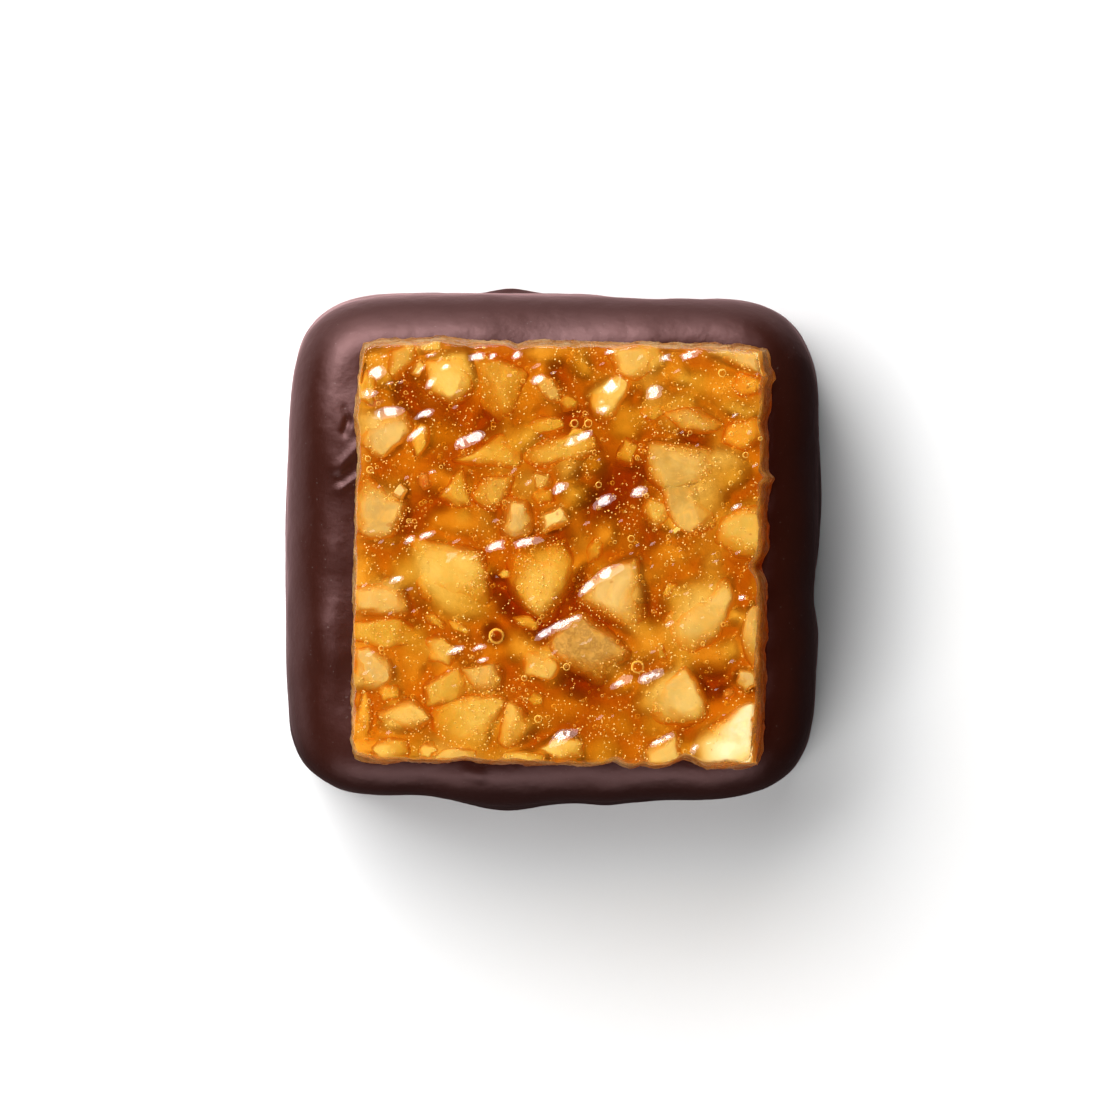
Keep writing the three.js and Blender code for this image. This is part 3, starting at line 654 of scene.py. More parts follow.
class Wire:
    """A shader socket that takes part in arithmetic. Each operation adds its node to the tree."""

    def __init__(self, finish, socket):
        self.finish = finish
        self.socket = socket

    def _math(self, operation, first, second=None):
        inputs = {0: first} if second is None else {0: first, 1: second}
        return self.finish.node("ShaderNodeMath", {"operation": operation}, inputs)

    def __add__(self, other):
        return self._math("ADD", self, other)

    __radd__ = __add__

    def __sub__(self, other):
        return self._math("SUBTRACT", self, other)

    def __rsub__(self, other):
        return self._math("SUBTRACT", other, self)

    def __mul__(self, other):
        return self._math("MULTIPLY", self, other)

    __rmul__ = __mul__

    def __truediv__(self, other):
        return self._math("DIVIDE", self, other)

    def __rtruediv__(self, other):
        return self._math("DIVIDE", other, self)

    def __pow__(self, other):
        return self._math("POWER", self, other)

    def held(self):
        """The value kept between 0 and 1."""
        return self.finish.node("ShaderNodeClamp", {}, {"Value": self, "Min": 0.0, "Max": 1.0})

    def out(self, name):
        """Another output of the same node."""
        return Wire(self.finish, self.socket.node.outputs[name])


class Finish:
    """A material, or the world, and its tree of nodes."""

    def __init__(self, name, kind="materials"):
        self.owner = getattr(bpy.data, kind).new(name)
        self.owner.use_nodes = True
        self.tree = self.owner.node_tree
        self.tree.nodes.clear()

    def node(self, kind, settings, inputs):
        """Adds a node: its settings first, then its sockets' values or links. Gives its first output."""
        made = self.tree.nodes.new(kind)
        for name, value in settings.items():
            setattr(made, name, value)
        for name, value in inputs.items():
            socket = made.inputs[name]
            if isinstance(value, Wire):
                self.tree.links.new(value.socket, socket)
            else:
                socket.default_value = value
        return Wire(self, next((output for output in made.outputs if output.enabled), None))

    def blend(self, factor, first, second, how="MIX"):
        """Two colours mixed by a factor."""
        settings = {"data_type": "RGBA", "blend_type": how}
        return self.node("ShaderNodeMix", settings, {0: factor, 6: first, 7: second})

    def either(self, factor, first, second):
        """Two surfaces mixed by a factor."""
        return self.node("ShaderNodeMixShader", {}, {0: factor, 1: first, 2: second})

    def vector(self, operation, inputs):
        return self.node("ShaderNodeVectorMath", {"operation": operation}, inputs)

    def place(self):
        """The object's own coordinates, in millimetres."""
        coordinates = self.node("ShaderNodeTexCoord", {}, {}).out("Object")
        return self.vector("SCALE", {0: coordinates, "Scale": 1 / MM})

    def axis(self, vector, name):
        """One of a vector's numbers."""
        return self.node("ShaderNodeSeparateXYZ", {}, {0: vector}).out(name)

    def noise(self, where, scale, detail=2.0, roughness=0.5, distortion=0.0):
        """Noise from 0 to 1, with lumps of one over the scale."""
        return self.node(
            "ShaderNodeTexNoise",
            {"noise_dimensions": "3D"},
            {
                "Vector": where,
                "Scale": scale,
                "Detail": detail,
                "Roughness": roughness,
                "Distortion": distortion,
            },
        )

    def cell_edges(self, where, stirring, reach, scale):
        """How far places are from the edges of cells, which a noise's colour bends."""
        bend = self.vector("SCALE", {0: stirring.out("Color"), "Scale": reach})
        bent = self.vector("ADD", {0: where, 1: bend})
        settings = {"feature": "DISTANCE_TO_EDGE"}
        return self.node("ShaderNodeTexVoronoi", settings, {"Vector": bent, "Scale": scale})

    def between(self, value, low, high):
        """The value's share of the way from low to high, kept between 0 and 1."""
        return self.node(
            "ShaderNodeMapRange",
            {"clamp": True},
            {"Value": value, "From Min": low, "From Max": high, "To Min": 0.0, "To Max": 1.0},
        )

    def own_normal(self):
        """The surface's own smooth normal."""
        return self.node("ShaderNodeNewGeometry", {}, {}).out("Normal")

    def soft_normal(self, share):
        """The surface's own normal, turned by a share towards straight up, as light inside it spreads."""
        kept = self.vector("SCALE", {0: self.own_normal(), "Scale": 1 - share})
        turned = self.vector("ADD", {0: kept, 1: (0.0, 0.0, share)})
        return self.vector("NORMALIZE", {0: turned})

    def slope(self):
        """From 0 where the surface faces up to 1 where it is steep."""
        return 1 - self.between(self.axis(self.own_normal(), "Z"), 0.5, 0.98)

    def lit_through(self, surface, colour, share):
        """A share of the surface is lit by what comes through from its far side."""
        return self.either(share, surface, self.node("ShaderNodeBsdfTranslucent", {}, {"Color": colour}))

    def bump(self, height, strength, distance_mm, normal=None):
        inputs = {"Height": height, "Strength": strength, "Distance": distance_mm * MM}
        if normal is not None:
            inputs["Normal"] = normal
        return self.node("ShaderNodeBump", {}, inputs)

    def finished(self, surface, volume=None, output="ShaderNodeOutputMaterial"):
        inputs = {"Surface": surface}
        if volume is not None:
            inputs["Volume"] = volume
        self.node(output, {}, inputs)
        return self.owner


def lets_light_through(finish, surface, tint):
    """The surface for what the camera sees, and a clear tinted pane for lamps and bounced light."""
    path = finish.node("ShaderNodeLightPath", {}, {})
    passing = (path.out("Is Shadow Ray") + path.out("Is Diffuse Ray")).held()
    return finish.either(passing, surface, finish.node("ShaderNodeBsdfTransparent", {}, {"Color": tint}))


# ---------------------------------------------------------------- finishes


def dark_chocolate(settings):
    """Satin dark chocolate: slow changes of sheen, fine pinpricks and a faint dusting."""
    finish = Finish("dark_chocolate")
    where = finish.place()
    clouds = finish.noise(where, 0.22, 3.0, 0.55)
    grain = finish.noise(where, 5.0, 3.0, 0.6)
    specks = finish.between(finish.noise(where, 6.5, 1.0, 0.5), 0.74, 0.80)
    cocoa = tuple(settings.cocoa)
    deeper = tuple(0.75 * c for c in cocoa[:3]) + (1.0,)
    colour = finish.blend(clouds, deeper, cocoa)
    colour = finish.blend(specks * 0.4, colour, COCOA_DUST)
    roughness = settings.sheen + 0.10 * (clouds - 0.5) + 0.06 * (grain - 0.5)
    relief = finish.bump(grain, 0.25, 0.03)
    relief = finish.bump(finish.noise(where, 0.9, 2.0, 0.5), 0.35, 0.12, relief)
    body = finish.node(
        "ShaderNodeBsdfPrincipled",
        {},
        {"Base Color": colour, "Roughness": 0.8, "Specular IOR Level": 0.0, "Normal": relief},
    )
    satin = finish.node(
        "ShaderNodeBsdfGlossy",
        {"distribution": "BECKMANN"},
        {"Color": SATIN, "Roughness": roughness, "Normal": relief},
    )
    mirrored = finish.node("ShaderNodeFresnel", {}, {"IOR": 1.5, "Normal": relief})
    return finish.finished(finish.either(mirrored, body, satin))


def nut_flesh(settings):
    """Broken nut kernels: faintly streaked, with a few brown specks, softly lit from inside."""
    finish = Finish("nut_flesh")
    where = finish.place()
    flesh = finish.node("ShaderNodeAttribute", {"attribute_name": "flesh"}, {}).out("Color")
    veined = finish.node("ShaderNodeAttribute", {"attribute_name": "veined"}, {}).out("Fac")
    streaks = finish.noise(where, 0.9, 4.0, 0.6, 1.5)
    clouds = finish.noise(where, 0.55, 3.0, 0.6, 0.6)
    mottle = finish.noise(where, 4.5, 3.0, 0.6)
    colour = finish.blend(finish.between(streaks, 0.42, 0.7) * 0.5, flesh, tuple(settings.streak))
    paler = finish.between(clouds, 0.42, 0.66) * (1 - 0.7 * veined)
    colour = finish.blend(paler * 0.6, colour, NUT_CLOUDS, "SCREEN")
    colour = finish.blend(finish.between(mottle, 0.55, 0.8) * 0.3, colour, NUT_MOTTLE, "SCREEN")
    slope = finish.slope()
    # Painted shade: the steep sides are painted amber, in place of their shading under the caramel.
    colour = finish.blend(slope * 0.6, colour, NUT_SIDES_PAINTED_SHADE)
    veins = (1 - finish.between(finish.cell_edges(where, mottle, 0.9, 1.25), 0.0, 0.12)) * veined
    colour = finish.blend(veins * 0.6, colour, NUT_VEINS)
    specks = finish.between(finish.noise(where, 1.9, 0.0, 0.4), 0.84, 0.87)
    colour = finish.blend(specks * 0.6, colour, NUT_SPECKS)
    relief = finish.bump(clouds, 0.3, 0.15, finish.soft_normal(0.85))
    surface = finish.node(
        "ShaderNodeBsdfPrincipled",
        {},
        {
            "Base Color": colour,
            "Roughness": 0.42 + 0.2 * (mottle - 0.5),
            "IOR": 1.45,
            "Subsurface Weight": 0.5,
            "Subsurface Radius": (1.0, 0.5, 0.18),
            "Subsurface Scale": 0.8 * MM,
            "Normal": relief,
        },
    )
    return finish.finished(finish.lit_through(surface, NUT_GLOW, slope * 0.75))


def crumb_paste():
    """Deep nut pieces and toasted crumbs stuck together, with their soft colours."""
    finish = Finish("crumb_paste")
    where = finish.place()
    flesh = finish.node("ShaderNodeAttribute", {"attribute_name": "flesh"}, {}).out("Color")
    grains = finish.noise(where, 2.6, 4.0, 0.65)
    colour = finish.blend(finish.between(grains, 0.3, 0.7) * 0.35, flesh, BED_GRAINS)
    relief = finish.bump(grains, 0.3, 0.08, finish.soft_normal(0.85))
    surface = finish.node(
        "ShaderNodeBsdfPrincipled", {}, {"Base Color": colour, "Roughness": 0.7, "Normal": relief}
    )
    return finish.finished(finish.lit_through(surface, BED_GLOW, finish.slope() * 0.6))


def caramel_glass():
    """Clear boiled sugar: the top is glossy, the cut sides are frosted, and depth turns it amber."""
    finish = Finish("caramel_glass")
    where = finish.place()
    cut = 1 - finish.between(finish.axis(finish.own_normal(), "Z"), 0.15, 0.5)
    ripple = finish.noise(where, 1.6, 2.0, 0.5)
    grit = finish.noise(where, 9.0, 3.0, 0.6)
    crumbs = finish.noise(where, 1.4, 4.0, 0.65)
    kernels = finish.between(finish.cell_edges(where, crumbs, 1.6, 0.5), 0.04, 0.20)
    relief = finish.bump(ripple, 0.5, 0.05)
    relief = finish.bump(grit * cut, 0.8, 0.06, relief)
    relief = finish.bump(kernels * cut, 0.7, 0.16, relief)
    clear = finish.node(
        "ShaderNodeBsdfPrincipled",
        {},
        {
            "Base Color": WHITE,
            "Roughness": 0.16,
            "Specular Tint": (0.0, 0.0, 0.0, 1.0),
            "IOR": 1.49,
            "Transmission Weight": 1.0,
            "Coat Weight": 1 - cut,
            "Coat Roughness": 0.07,
            "Coat IOR": 1.5,
            "Normal": relief,
        },
    )
    colour = finish.blend(kernels, KERNEL_GAPS, finish.blend(crumbs, KERNEL_DARK, KERNEL_PALE))
    crust = finish.node(
        "ShaderNodeBsdfPrincipled", {}, {"Base Color": colour, "Roughness": 0.4, "Normal": relief}
    )
    surface = finish.either(cut * 0.75, clear, finish.lit_through(crust, CRUST_GLOW, 0.42))
    depth = finish.node("ShaderNodeVolumeAbsorption", {}, {"Color": CARAMEL_DEPTH, "Density": 2200.0})
    return finish.finished(lets_light_through(finish, surface, CARAMEL_PANE), depth)


def golden_dust():
    """Grains of toasted nut, each a little lighter or darker."""
    finish = Finish("golden_dust")
    grains = finish.noise(finish.place(), 2.0, 1.0, 0.5)
    colour = finish.blend(grains, DUST_DARK, DUST_PALE)
    surface = finish.node("ShaderNodeBsdfPrincipled", {}, {"Base Color": colour, "Roughness": 0.25})
    return finish.finished(surface)


def bubble_wall():
    """An air bubble in sugar glass: its rim is painted gold, a painted reflection of the golden nuts round
    it, and its middle is clear.
    """
    finish = Finish("bubble_wall")
    facing = finish.node("ShaderNodeLayerWeight", {}, {"Blend": 0.5}).out("Facing")
    # Painted reflection: the rim, found by how far the surface turns from the view, is a golden surface,
    # not a mirror.
    rim = finish.between(facing, 0.22, 0.6)
    gold = finish.node(
        "ShaderNodeBsdfPrincipled",
        {},
        {"Base Color": BUBBLE_PAINTED_REFLECTION, "Roughness": 0.1, "Normal": finish.soft_normal(0.5)},
    )
    middle = finish.node("ShaderNodeBsdfTransparent", {}, {"Color": WHITE})
    return finish.finished(lets_light_through(finish, finish.either(rim, middle, gold), WHITE))


def white_floor():
    """The white floor. To bounced light it is painted nearly black, as painted shade, so that the coat
    keeps its dark sides;
    in the coat's mirror it is painted light at the back and on the left, where no shadow lies, and dark
    towards the front and the right, as painted light and shadow. Far from the praline it turns into the
    white backdrop."""
    finish = Finish("white_floor")
    path = finish.node("ShaderNodeLightPath", {}, {})
    where = finish.place()
    plain = finish.node("ShaderNodeBsdfDiffuse", {}, {"Color": FLOOR_SEEN})
    # Painted shade: to bounced light the floor is nearly black.
    dim = finish.node("ShaderNodeBsdfDiffuse", {}, {"Color": FLOOR_PAINTED_SHADE})
    backdrop = finish.node("ShaderNodeEmission", {}, {"Color": WHITE, "Strength": 1.0})
    far = finish.between(finish.vector("LENGTH", {0: where}).out("Value"), BACKDROP_FROM, BACKDROP_TO)
    # Painted light and shadow: in mirrors the floor is lighter at the back and on the left, and dark to the
    # right and front.
    painted_light_share = finish.between(finish.axis(where, "Y") - 0.6 * finish.axis(where, "X"), -2.0, 20.0)
    tone = finish.blend(painted_light_share, FLOOR_PAINTED_SHADE, FLOOR_PAINTED_LIGHT)
    mirrored = finish.node("ShaderNodeBsdfDiffuse", {}, {"Color": tone})
    unseen = finish.either(path.out("Is Glossy Ray"), dim, mirrored)
    seen = finish.either(far, plain, backdrop)
    return finish.finished(finish.either(path.out("Is Camera Ray"), unseen, seen))


def studio():
    """The world: a white backdrop to the camera, which hardly lights the praline."""
    finish = Finish("studio", "worlds")
    seen = finish.node("ShaderNodeLightPath", {}, {}).out("Is Camera Ray")
    strength = STUDIO_DIM + (1 - STUDIO_DIM) * seen
    backdrop = finish.node("ShaderNodeBackground", {}, {"Color": WHITE, "Strength": strength})
    return finish.finished(backdrop, output="ShaderNodeOutputWorld")


# ---------------------------------------------------------------- the coat


def pushed(waves, degrees):
    """How far waves or lobes push the coat's side out, in each direction round the middle."""
    total = np.zeros_like(degrees)
    for at, out, spread in waves:
        total += out * bell((degrees - at + 180) % 360 - 180, spread)
    return total


def coat_profile():
    """The coat's side from the floor to the middle of its top, as insets and levels."""
    shoulder = COAT_TALL - SHOULDER_TALL
    foot = UNDERSIDE_EASE * np.linspace(0, 1, FOOT_RINGS)
    side = np.linspace(UNDERSIDE_EASE, shoulder, SIDE_RINGS)[1:]
    turn = np.linspace(0, math.pi / 2, SHOULDER_RINGS)[1:]
    up = np.sin(turn) ** (2 / SHOULDER_ROUNDNESS)
    round_in = 1 - np.cos(turn) ** (2 / SHOULDER_ROUNDNESS)
    level = np.concatenate([foot, side, shoulder + SHOULDER_TALL * up])
    inset = np.concatenate(
        [
            UNDERSIDE_INSET * (1 - ease(foot / UNDERSIDE_EASE)),
            SIDE_LEAN * ease((side - WIDEST_LEVEL) / (shoulder - WIDEST_LEVEL)),
            SIDE_LEAN + (SHOULDER_REACH - SIDE_LEAN) * round_in,
        ]
    )
    beside = np.linspace(SHOULDER_REACH, SHOULDER_REACH + BESIDE_SLAB, BESIDE_SLAB_RINGS)[1:]
    inner = np.linspace(SHOULDER_REACH + BESIDE_SLAB, MIDDLE_REACH, INNER_RINGS)[1:]
    flat_top = np.full(len(beside) + len(inner), COAT_TALL)
    return np.concatenate([inset, beside, inner]), np.concatenate([level, flat_top])


def coat_points(settings):
    """Rings of the coat, with its waves and its lobed foot."""
    degrees = np.arange(COAT_TURNS) * 360 / COAT_TURNS
    way = np.radians(degrees)
    across = np.abs(np.cos(way)) / (settings.wide / MM / 2)
    along = np.abs(np.sin(way)) / (settings.deep / MM / 2)
    square = (across**COAT_SQUARENESS + along**COAT_SQUARENESS) ** (-1 / COAT_SQUARENESS)
    rings = []
    for inset, level in zip(*coat_profile()):
        fade = 1 - WAVE_FADE_SHARE * ease((level - WAVE_FADE_FROM) / WAVE_FADE_OVER)
        foot = 1 - ease(level / FOOT_TALL)
        reach = square + pushed(COAT_WAVES, degrees) * fade + pushed(FOOT_LOBES, degrees) * foot
        reach = np.maximum(reach - inset, SMALLEST_RING)
        ring = [reach * np.cos(way), reach * np.sin(way), np.full_like(reach, level)]
        rings.append(np.stack(ring, axis=1))
    rings = np.array(rings)
    middle = (rings.reshape(-1, 3).max(0) + rings.reshape(-1, 3).min(0)) / 2
    rings[..., :2] -= middle[:2]
    return rings


def worked(rings):
    """The rings pushed along their own normals by slow swells, dents and ridges."""
    round_way = np.roll(rings, -1, axis=1) - np.roll(rings, 1, axis=1)
    up_way = np.gradient(rings, axis=0)
    normal = np.cross(round_way, up_way)
    normal /= np.linalg.norm(normal, axis=2, keepdims=True) + 1e-9
    flat = rings.reshape(-1, 3)
    level = flat[:, 2]
    push = drifts(flat, COAT_SWELLS) * ease(level / SWELLS_FROM)
    for x0, y0, x1, y1, width, height in COAT_MARKS:
        start, stroke = np.array([x0, y0]), np.array([x1 - x0, y1 - y0])
        share = np.clip((flat[:, :2] - start) @ stroke / (stroke @ stroke), 0, 1)
        away = np.linalg.norm(flat[:, :2] - start - share[:, None] * stroke, axis=1)
        push += height * bell(away, width) * ease((level - MARKS_FROM) / MARKS_OVER)
    outside = (np.abs(flat[:, :2] - SLAB_AT) - UNDER_SLAB).max(axis=1)
    under_slab = ease(-outside / UNDER_SLAB_EASE)
    push = push * (1 - under_slab) + np.minimum(push, 0) * under_slab
    return rings + normal * push.reshape(rings.shape[:2] + (1,))


class PRALINE_OT_add_coat(bpy.types.Operator):
    """Add the dark chocolate coat, with its waves, its lobed foot and the marks beside the slab"""

    bl_idname = "praline.add_coat"
    bl_label = "Add Chocolate Coat"

    def execute(self, context):
        settings = context.scene.praline_coat
        rings = worked(coat_points(settings))
        rings[0, :, 2] = 0.0
        points = rings.reshape(-1, 3)
        last = len(points) - COAT_TURNS
        ends = [range(last, last + COAT_TURNS), range(COAT_TURNS - 1, -1, -1)]
        piece = make_piece("dark_chocolate_coat", points, lofted_faces(len(rings), COAT_TURNS), ends=ends)
        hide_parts("chocolate_coat")
        piece.data.materials.append(dark_chocolate(settings))
        return {"FINISHED"}


# ---------------------------------------------------------------- the slab's outline


def side_cut(side, along, level):
    """How far a cut side stands out at a place along it and a level up it, in millimetres."""
    total = -SLAB_LEAN[side] * level / SLAB_THICK
    seed = SLAB_LEAN_SEED[side]
    for at, out, spread in SIDE_CHIPS[side]:
        total = total + out * bell(along - at, spread)
    place = np.stack([along, level + 0 * along, np.full_like(along, seed)], axis=1)
    layers = [(height, breadth, int(seed) + step) for height, breadth, step in SIDE_ROUGHNESS]
    return total + drifts(place, layers)


def slab_places(settings, u, v, level):
    """Points of the slab at u and v, each from -1 to 1 across it, at levels over its underside."""
    soften = 1 - CORNER_CUT * (u * v) ** 8
    x = u * soften * settings.wide / MM / 2
    y = v * soften * settings.deep / MM / 2
    out_x = np.where(u > 0, side_cut("right", y, level), side_cut("left", y, level))
    out_y = np.where(v > 0, side_cut("back", x, level), side_cut("front", x, level))
    x = x + np.sign(u) * np.abs(u) ** SIDE_REACH * out_x
    y = y + np.sign(v) * np.abs(v) ** SIDE_REACH * out_y
    return np.stack([x, y, level + 0 * x], axis=1)


# ---------------------------------------------------------------- the nuts


def rough_outline(x, y, long, wide, turn, corners, draw):
    """The corners of a small piece: spread round an oval, each a little out of place."""
    way = (np.arange(corners) + 0.5 + 0.3 * (draw.random(corners) - 0.5)) * 2 * math.pi / corners
    oval = np.stack([np.cos(way) * long / 2, np.sin(way) * wide / 2], axis=1)
    c, s = math.cos(math.radians(turn)), math.sin(math.radians(turn))
    return oval @ np.array([[c, s], [-s, c]]) + (x, y)


def unit_ball(detail):
    """The points and faces of a ball of triangles."""
    ball = bmesh.new()
    bmesh.ops.create_icosphere(ball, subdivisions=detail, radius=1.0)
    points = np.array([v.co for v in ball.verts])
    faces = np.array([[v.index for v in f.verts] for f in ball.faces])
    ball.free()
    return points / np.linalg.norm(points, axis=1, keepdims=True), faces


def nut_lump(outline, top, ball, draw):
    """A broken piece: a lump whose faces are planes, with softened edges between them."""
    corners = np.asarray(outline, float)
    low, high = corners.min(0), corners.max(0)
    middle, half = (low + high) / 2, (high - low) * NUT_OUTLINE_GROWTH / 2
    thick = min(NUT_THICKEST, 2 * min(half) * NUT_FLATNESS)
    scale = np.array([half[0], half[1], thick / 2])
    edge = np.roll(corners, -1, axis=0) - corners
    out = np.stack([edge[:, 1], -edge[:, 0]], axis=1)
    out /= np.linalg.norm(out, axis=1, keepdims=True)
    reach = NUT_OUTLINE_GROWTH * np.sum(out * (corners - middle), axis=1)
    slope = NUT_SIDE_SLOPE * (draw.random(len(corners)) + draw.random(len(corners)) - 0.4)
    sides = np.column_stack([out, slope]) / reach[:, None]
    lean = math.tan(NUT_TILT) * (2 * draw.random((2, 2)) - 1)
    way = draw.uniform(0, 2 * math.pi)
    facet = NUT_FACET * np.array([math.cos(way), math.sin(way)])
    ends = np.column_stack([np.vstack([lean, facet]), [1.0, -1.0, 1.0]]) / (thick / 2)
    across, upright = (
        (np.maximum(ball @ (planes * scale).T, 0) ** NUT_SHARPNESS).sum(axis=1, keepdims=True)
        for planes in (sides, ends)
    )
    met = across ** (NUT_DOME / NUT_SHARPNESS) + upright ** (NUT_DOME / NUT_SHARPNESS)
    lump = ball * met ** (-1 / NUT_DOME) * scale
    offset = draw.uniform(0, 50, 3)
    away = lump / np.linalg.norm(lump, axis=1, keepdims=True)
    lump = lump + away * drifts(lump + offset, NUT_ROUGHNESS)[:, None]
    return lump + (middle[0], middle[1], top - lump[:, 2].max())


def trimmed(points, settings):
    """Points that pass a cut side of the slab are set flush with it."""
    half_x, half_y = settings.wide / MM / 2, settings.deep / MM / 2
    level = np.clip(points[:, 2], 0, SLAB_THICK)
    x, y = points[:, 0].copy(), points[:, 1].copy()
    right = half_x + side_cut("right", y, level) + NUT_CUT_PROUD
    left = -half_x - side_cut("left", y, level) - NUT_CUT_PROUD
    back = half_y + side_cut("back", x, level) + NUT_CUT_PROUD
    front = -half_y - side_cut("front", x, level) - NUT_CUT_PROUD
    points[:, 0] = np.clip(x, left, right)
    points[:, 1] = np.clip(y, front, back)
    u, v = np.clip(points[:, 0] / half_x, -1, 1), np.clip(points[:, 1] / half_y, -1, 1)
    points[:, :2] *= (1 - CORNER_CUT * (u * v) ** 8)[:, None]
    points[:, 2] = np.maximum(points[:, 2], NUT_LOWEST)
    return points


class NutPile:
    """Gathers nut pieces into one mesh."""

    def __init__(self, slab):
        self.slab = slab
        self.balls = {}
        self.points, self.faces, self.flesh, self.veined, self.cover = [], [], [], [], []
        self.count = 0

    def add(self, outline, rise, cover, kind, detail, draw):
        """Adds one piece, from its outline's corners along the coat's axes."""
        if detail not in self.balls:
            self.balls[detail] = unit_ball(detail)
        ball, faces = self.balls[detail]
        turned = np.stack(in_slab_axes(*np.transpose(outline)), axis=1)
        lump = trimmed(nut_lump(turned, SLAB_THICK + rise - cover, ball, draw), self.slab)
        self.points.append(lump)
        self.faces.append(faces + self.count)
        shade = 1 + NUT_SHADES * (2 * draw.random() - 1)
        self.flesh.append(np.tile([shade * c for c in NUT_COLOURS[kind]] + [1.0], (len(lump), 1)))
        self.veined.append(np.full(len(lump), float(kind == "veined")))
        self.cover.append(np.full(len(lump), cover))
        self.count += len(lump)

    def make(self, name, finish):
        piece = make_piece(name, np.vstack(self.points), np.vstack(self.faces), slab_matrix())
        give_attribute(piece, "flesh", np.vstack(self.flesh), "FLOAT_COLOR", "color")
        give_attribute(piece, "veined", np.concatenate(self.veined))
        give_attribute(piece, "cover", np.concatenate(self.cover))
        piece.data.materials.append(finish)
        return piece


class PRALINE_OT_add_nuts(bpy.types.Operator):
    """Add the chopped nuts that show: the broad pieces and the small ones between them"""

    bl_idname = "praline.add_nuts"
    bl_label = "Add Nuts"

    def execute(self, context):
        settings, slab = context.scene.praline_nuts, context.scene.praline_caramel
        draw = np.random.default_rng(settings.seed)
        shown = NutPile(slab)
        for rise, cover, kind, outline in BROAD_NUTS:
            detail = 5 if np.ptp(outline, axis=0).min() > FINE_NUTS_FROM else 4
            shown.add(outline, rise, cover, kind, detail, draw)
        for *shape, rise, cover, kind in SMALL_NUTS:
            if cover < SUNKEN:
                shown.add(rough_outline(*shape, draw), rise, cover, kind, 4, draw)
        pieces = shown.make("nut_pieces", nut_flesh(settings))
        pieces.visible_shadow = False  # the light that they stop comes round them through the caramel
        return {"FINISHED"}


class PRALINE_OT_add_nut_bed(bpy.types.Operator):
    """Add the bed of deep nut pieces, which gives light back up to the caramel"""

    bl_idname = "praline.add_nut_bed"
    bl_label = "Add Nut Bed"

    def execute(self, context):
        settings, slab = context.scene.praline_nuts, context.scene.praline_caramel
        low = self.low_pieces(settings, slab)
        spread = np.linspace(-1, 1, BED_GRID + 1)
        u, v = (w.ravel() for w in np.meshgrid(spread, spread, indexing="ij"))
        share = 1 - 2 * BED_INSET / (slab.wide / MM)
        top = slab_places(slab, u * share, v * share, np.full(len(u), SLAB_THICK))
        points, faces = np.vstack(low.points), np.vstack(low.faces)
        tree = BVHTree.FromPolygons(points.tolist(), faces.tolist())
        heights, hits = landed_on(tree, top[:, 0], top[:, 1])
        floor = SLAB_THICK - BED_DEPTH + drifts(top, BED_RELIEF)
        on_piece = (heights > floor) & (hits >= 0)
        colours = np.where(on_piece[:, None], np.vstack(low.flesh)[faces[hits, 0], :3], BED_GAP)
        cell = slab.wide / MM / BED_GRID
        shape = (BED_GRID + 1, BED_GRID + 1)
        heights = softened(np.maximum(heights, floor).reshape(shape), BED_BLUR / cell).ravel()
        for x, y, breadth, depth in HOLLOWS:
            heights -= HOLLOWS_DEEPER * depth * bell(np.hypot(top[:, 0] - x, top[:, 1] - y), breadth)
        top[:, 2] = heights
        colours = [softened(tone.reshape(shape), BED_BLUR / cell).ravel() for tone in colours.T]
        index = np.arange(len(u)).reshape(shape)
        points, faces, ends = closed_slab(top, index, slab, u * share, v * share, BED_LEVELS)
        piece = make_piece("nut_bed", points, faces, slab_matrix(), ends)
        flesh = np.tile([*BED_GAP, 1.0], (len(points), 1))
        flesh[: len(top), :3] = np.stack(colours, axis=1)
        give_attribute(piece, "flesh", flesh, "FLOAT_COLOR", "color")
        piece.data.materials.append(crumb_paste())
        piece.visible_shadow = False  # light also comes through it to the slab's far sides
        return {"FINISHED"}

    def low_pieces(self, settings, slab):
        """The listed pieces that lie deep, over others drawn at random."""
        draw = np.random.default_rng(settings.seed + 1)
        low = NutPile(slab)
        for rise, cover, kind, outline in BROAD_NUTS:
            middle = np.mean(outline, axis=0)
            grown = middle + BED_GROWTH * (np.asarray(outline) - middle)
            low.add(grown, rise, cover + BED_BELOW, kind, 4, draw)
        for x, y, long, wide, turn, corners, rise, cover, kind in SMALL_NUTS:
            below = BED_BELOW if cover < SUNKEN else SUNKEN_COVER
            grown = rough_outline(x, y, BED_GROWTH * long, BED_GROWTH * wide, turn, corners, draw)
            low.add(grown, rise, cover + below, kind, 3, draw)
        columns = math.ceil(math.sqrt(settings.deep_count))
        step_x, step_y = slab.wide / MM / columns, slab.deep / MM / columns
        for cell in range(settings.deep_count):
            x = (cell % columns + 0.2 + 0.6 * draw.random()) * step_x - slab.wide / MM / 2
            y = (cell // columns + 0.2 + 0.6 * draw.random()) * step_y - slab.deep / MM / 2
            long, wide = draw.uniform(*DEEP_LENGTHS), draw.uniform(*DEEP_WIDTHS)
            outline = rough_outline(x, y, long, wide, draw.uniform(0, 180), draw.integers(4, 7), draw)
            low.add(outline, 0.0, draw.uniform(*DEEP_COVERS), draw.choice(DEEP_KINDS), 3, draw)
        return low


# ---------------------------------------------------------------- the caramel


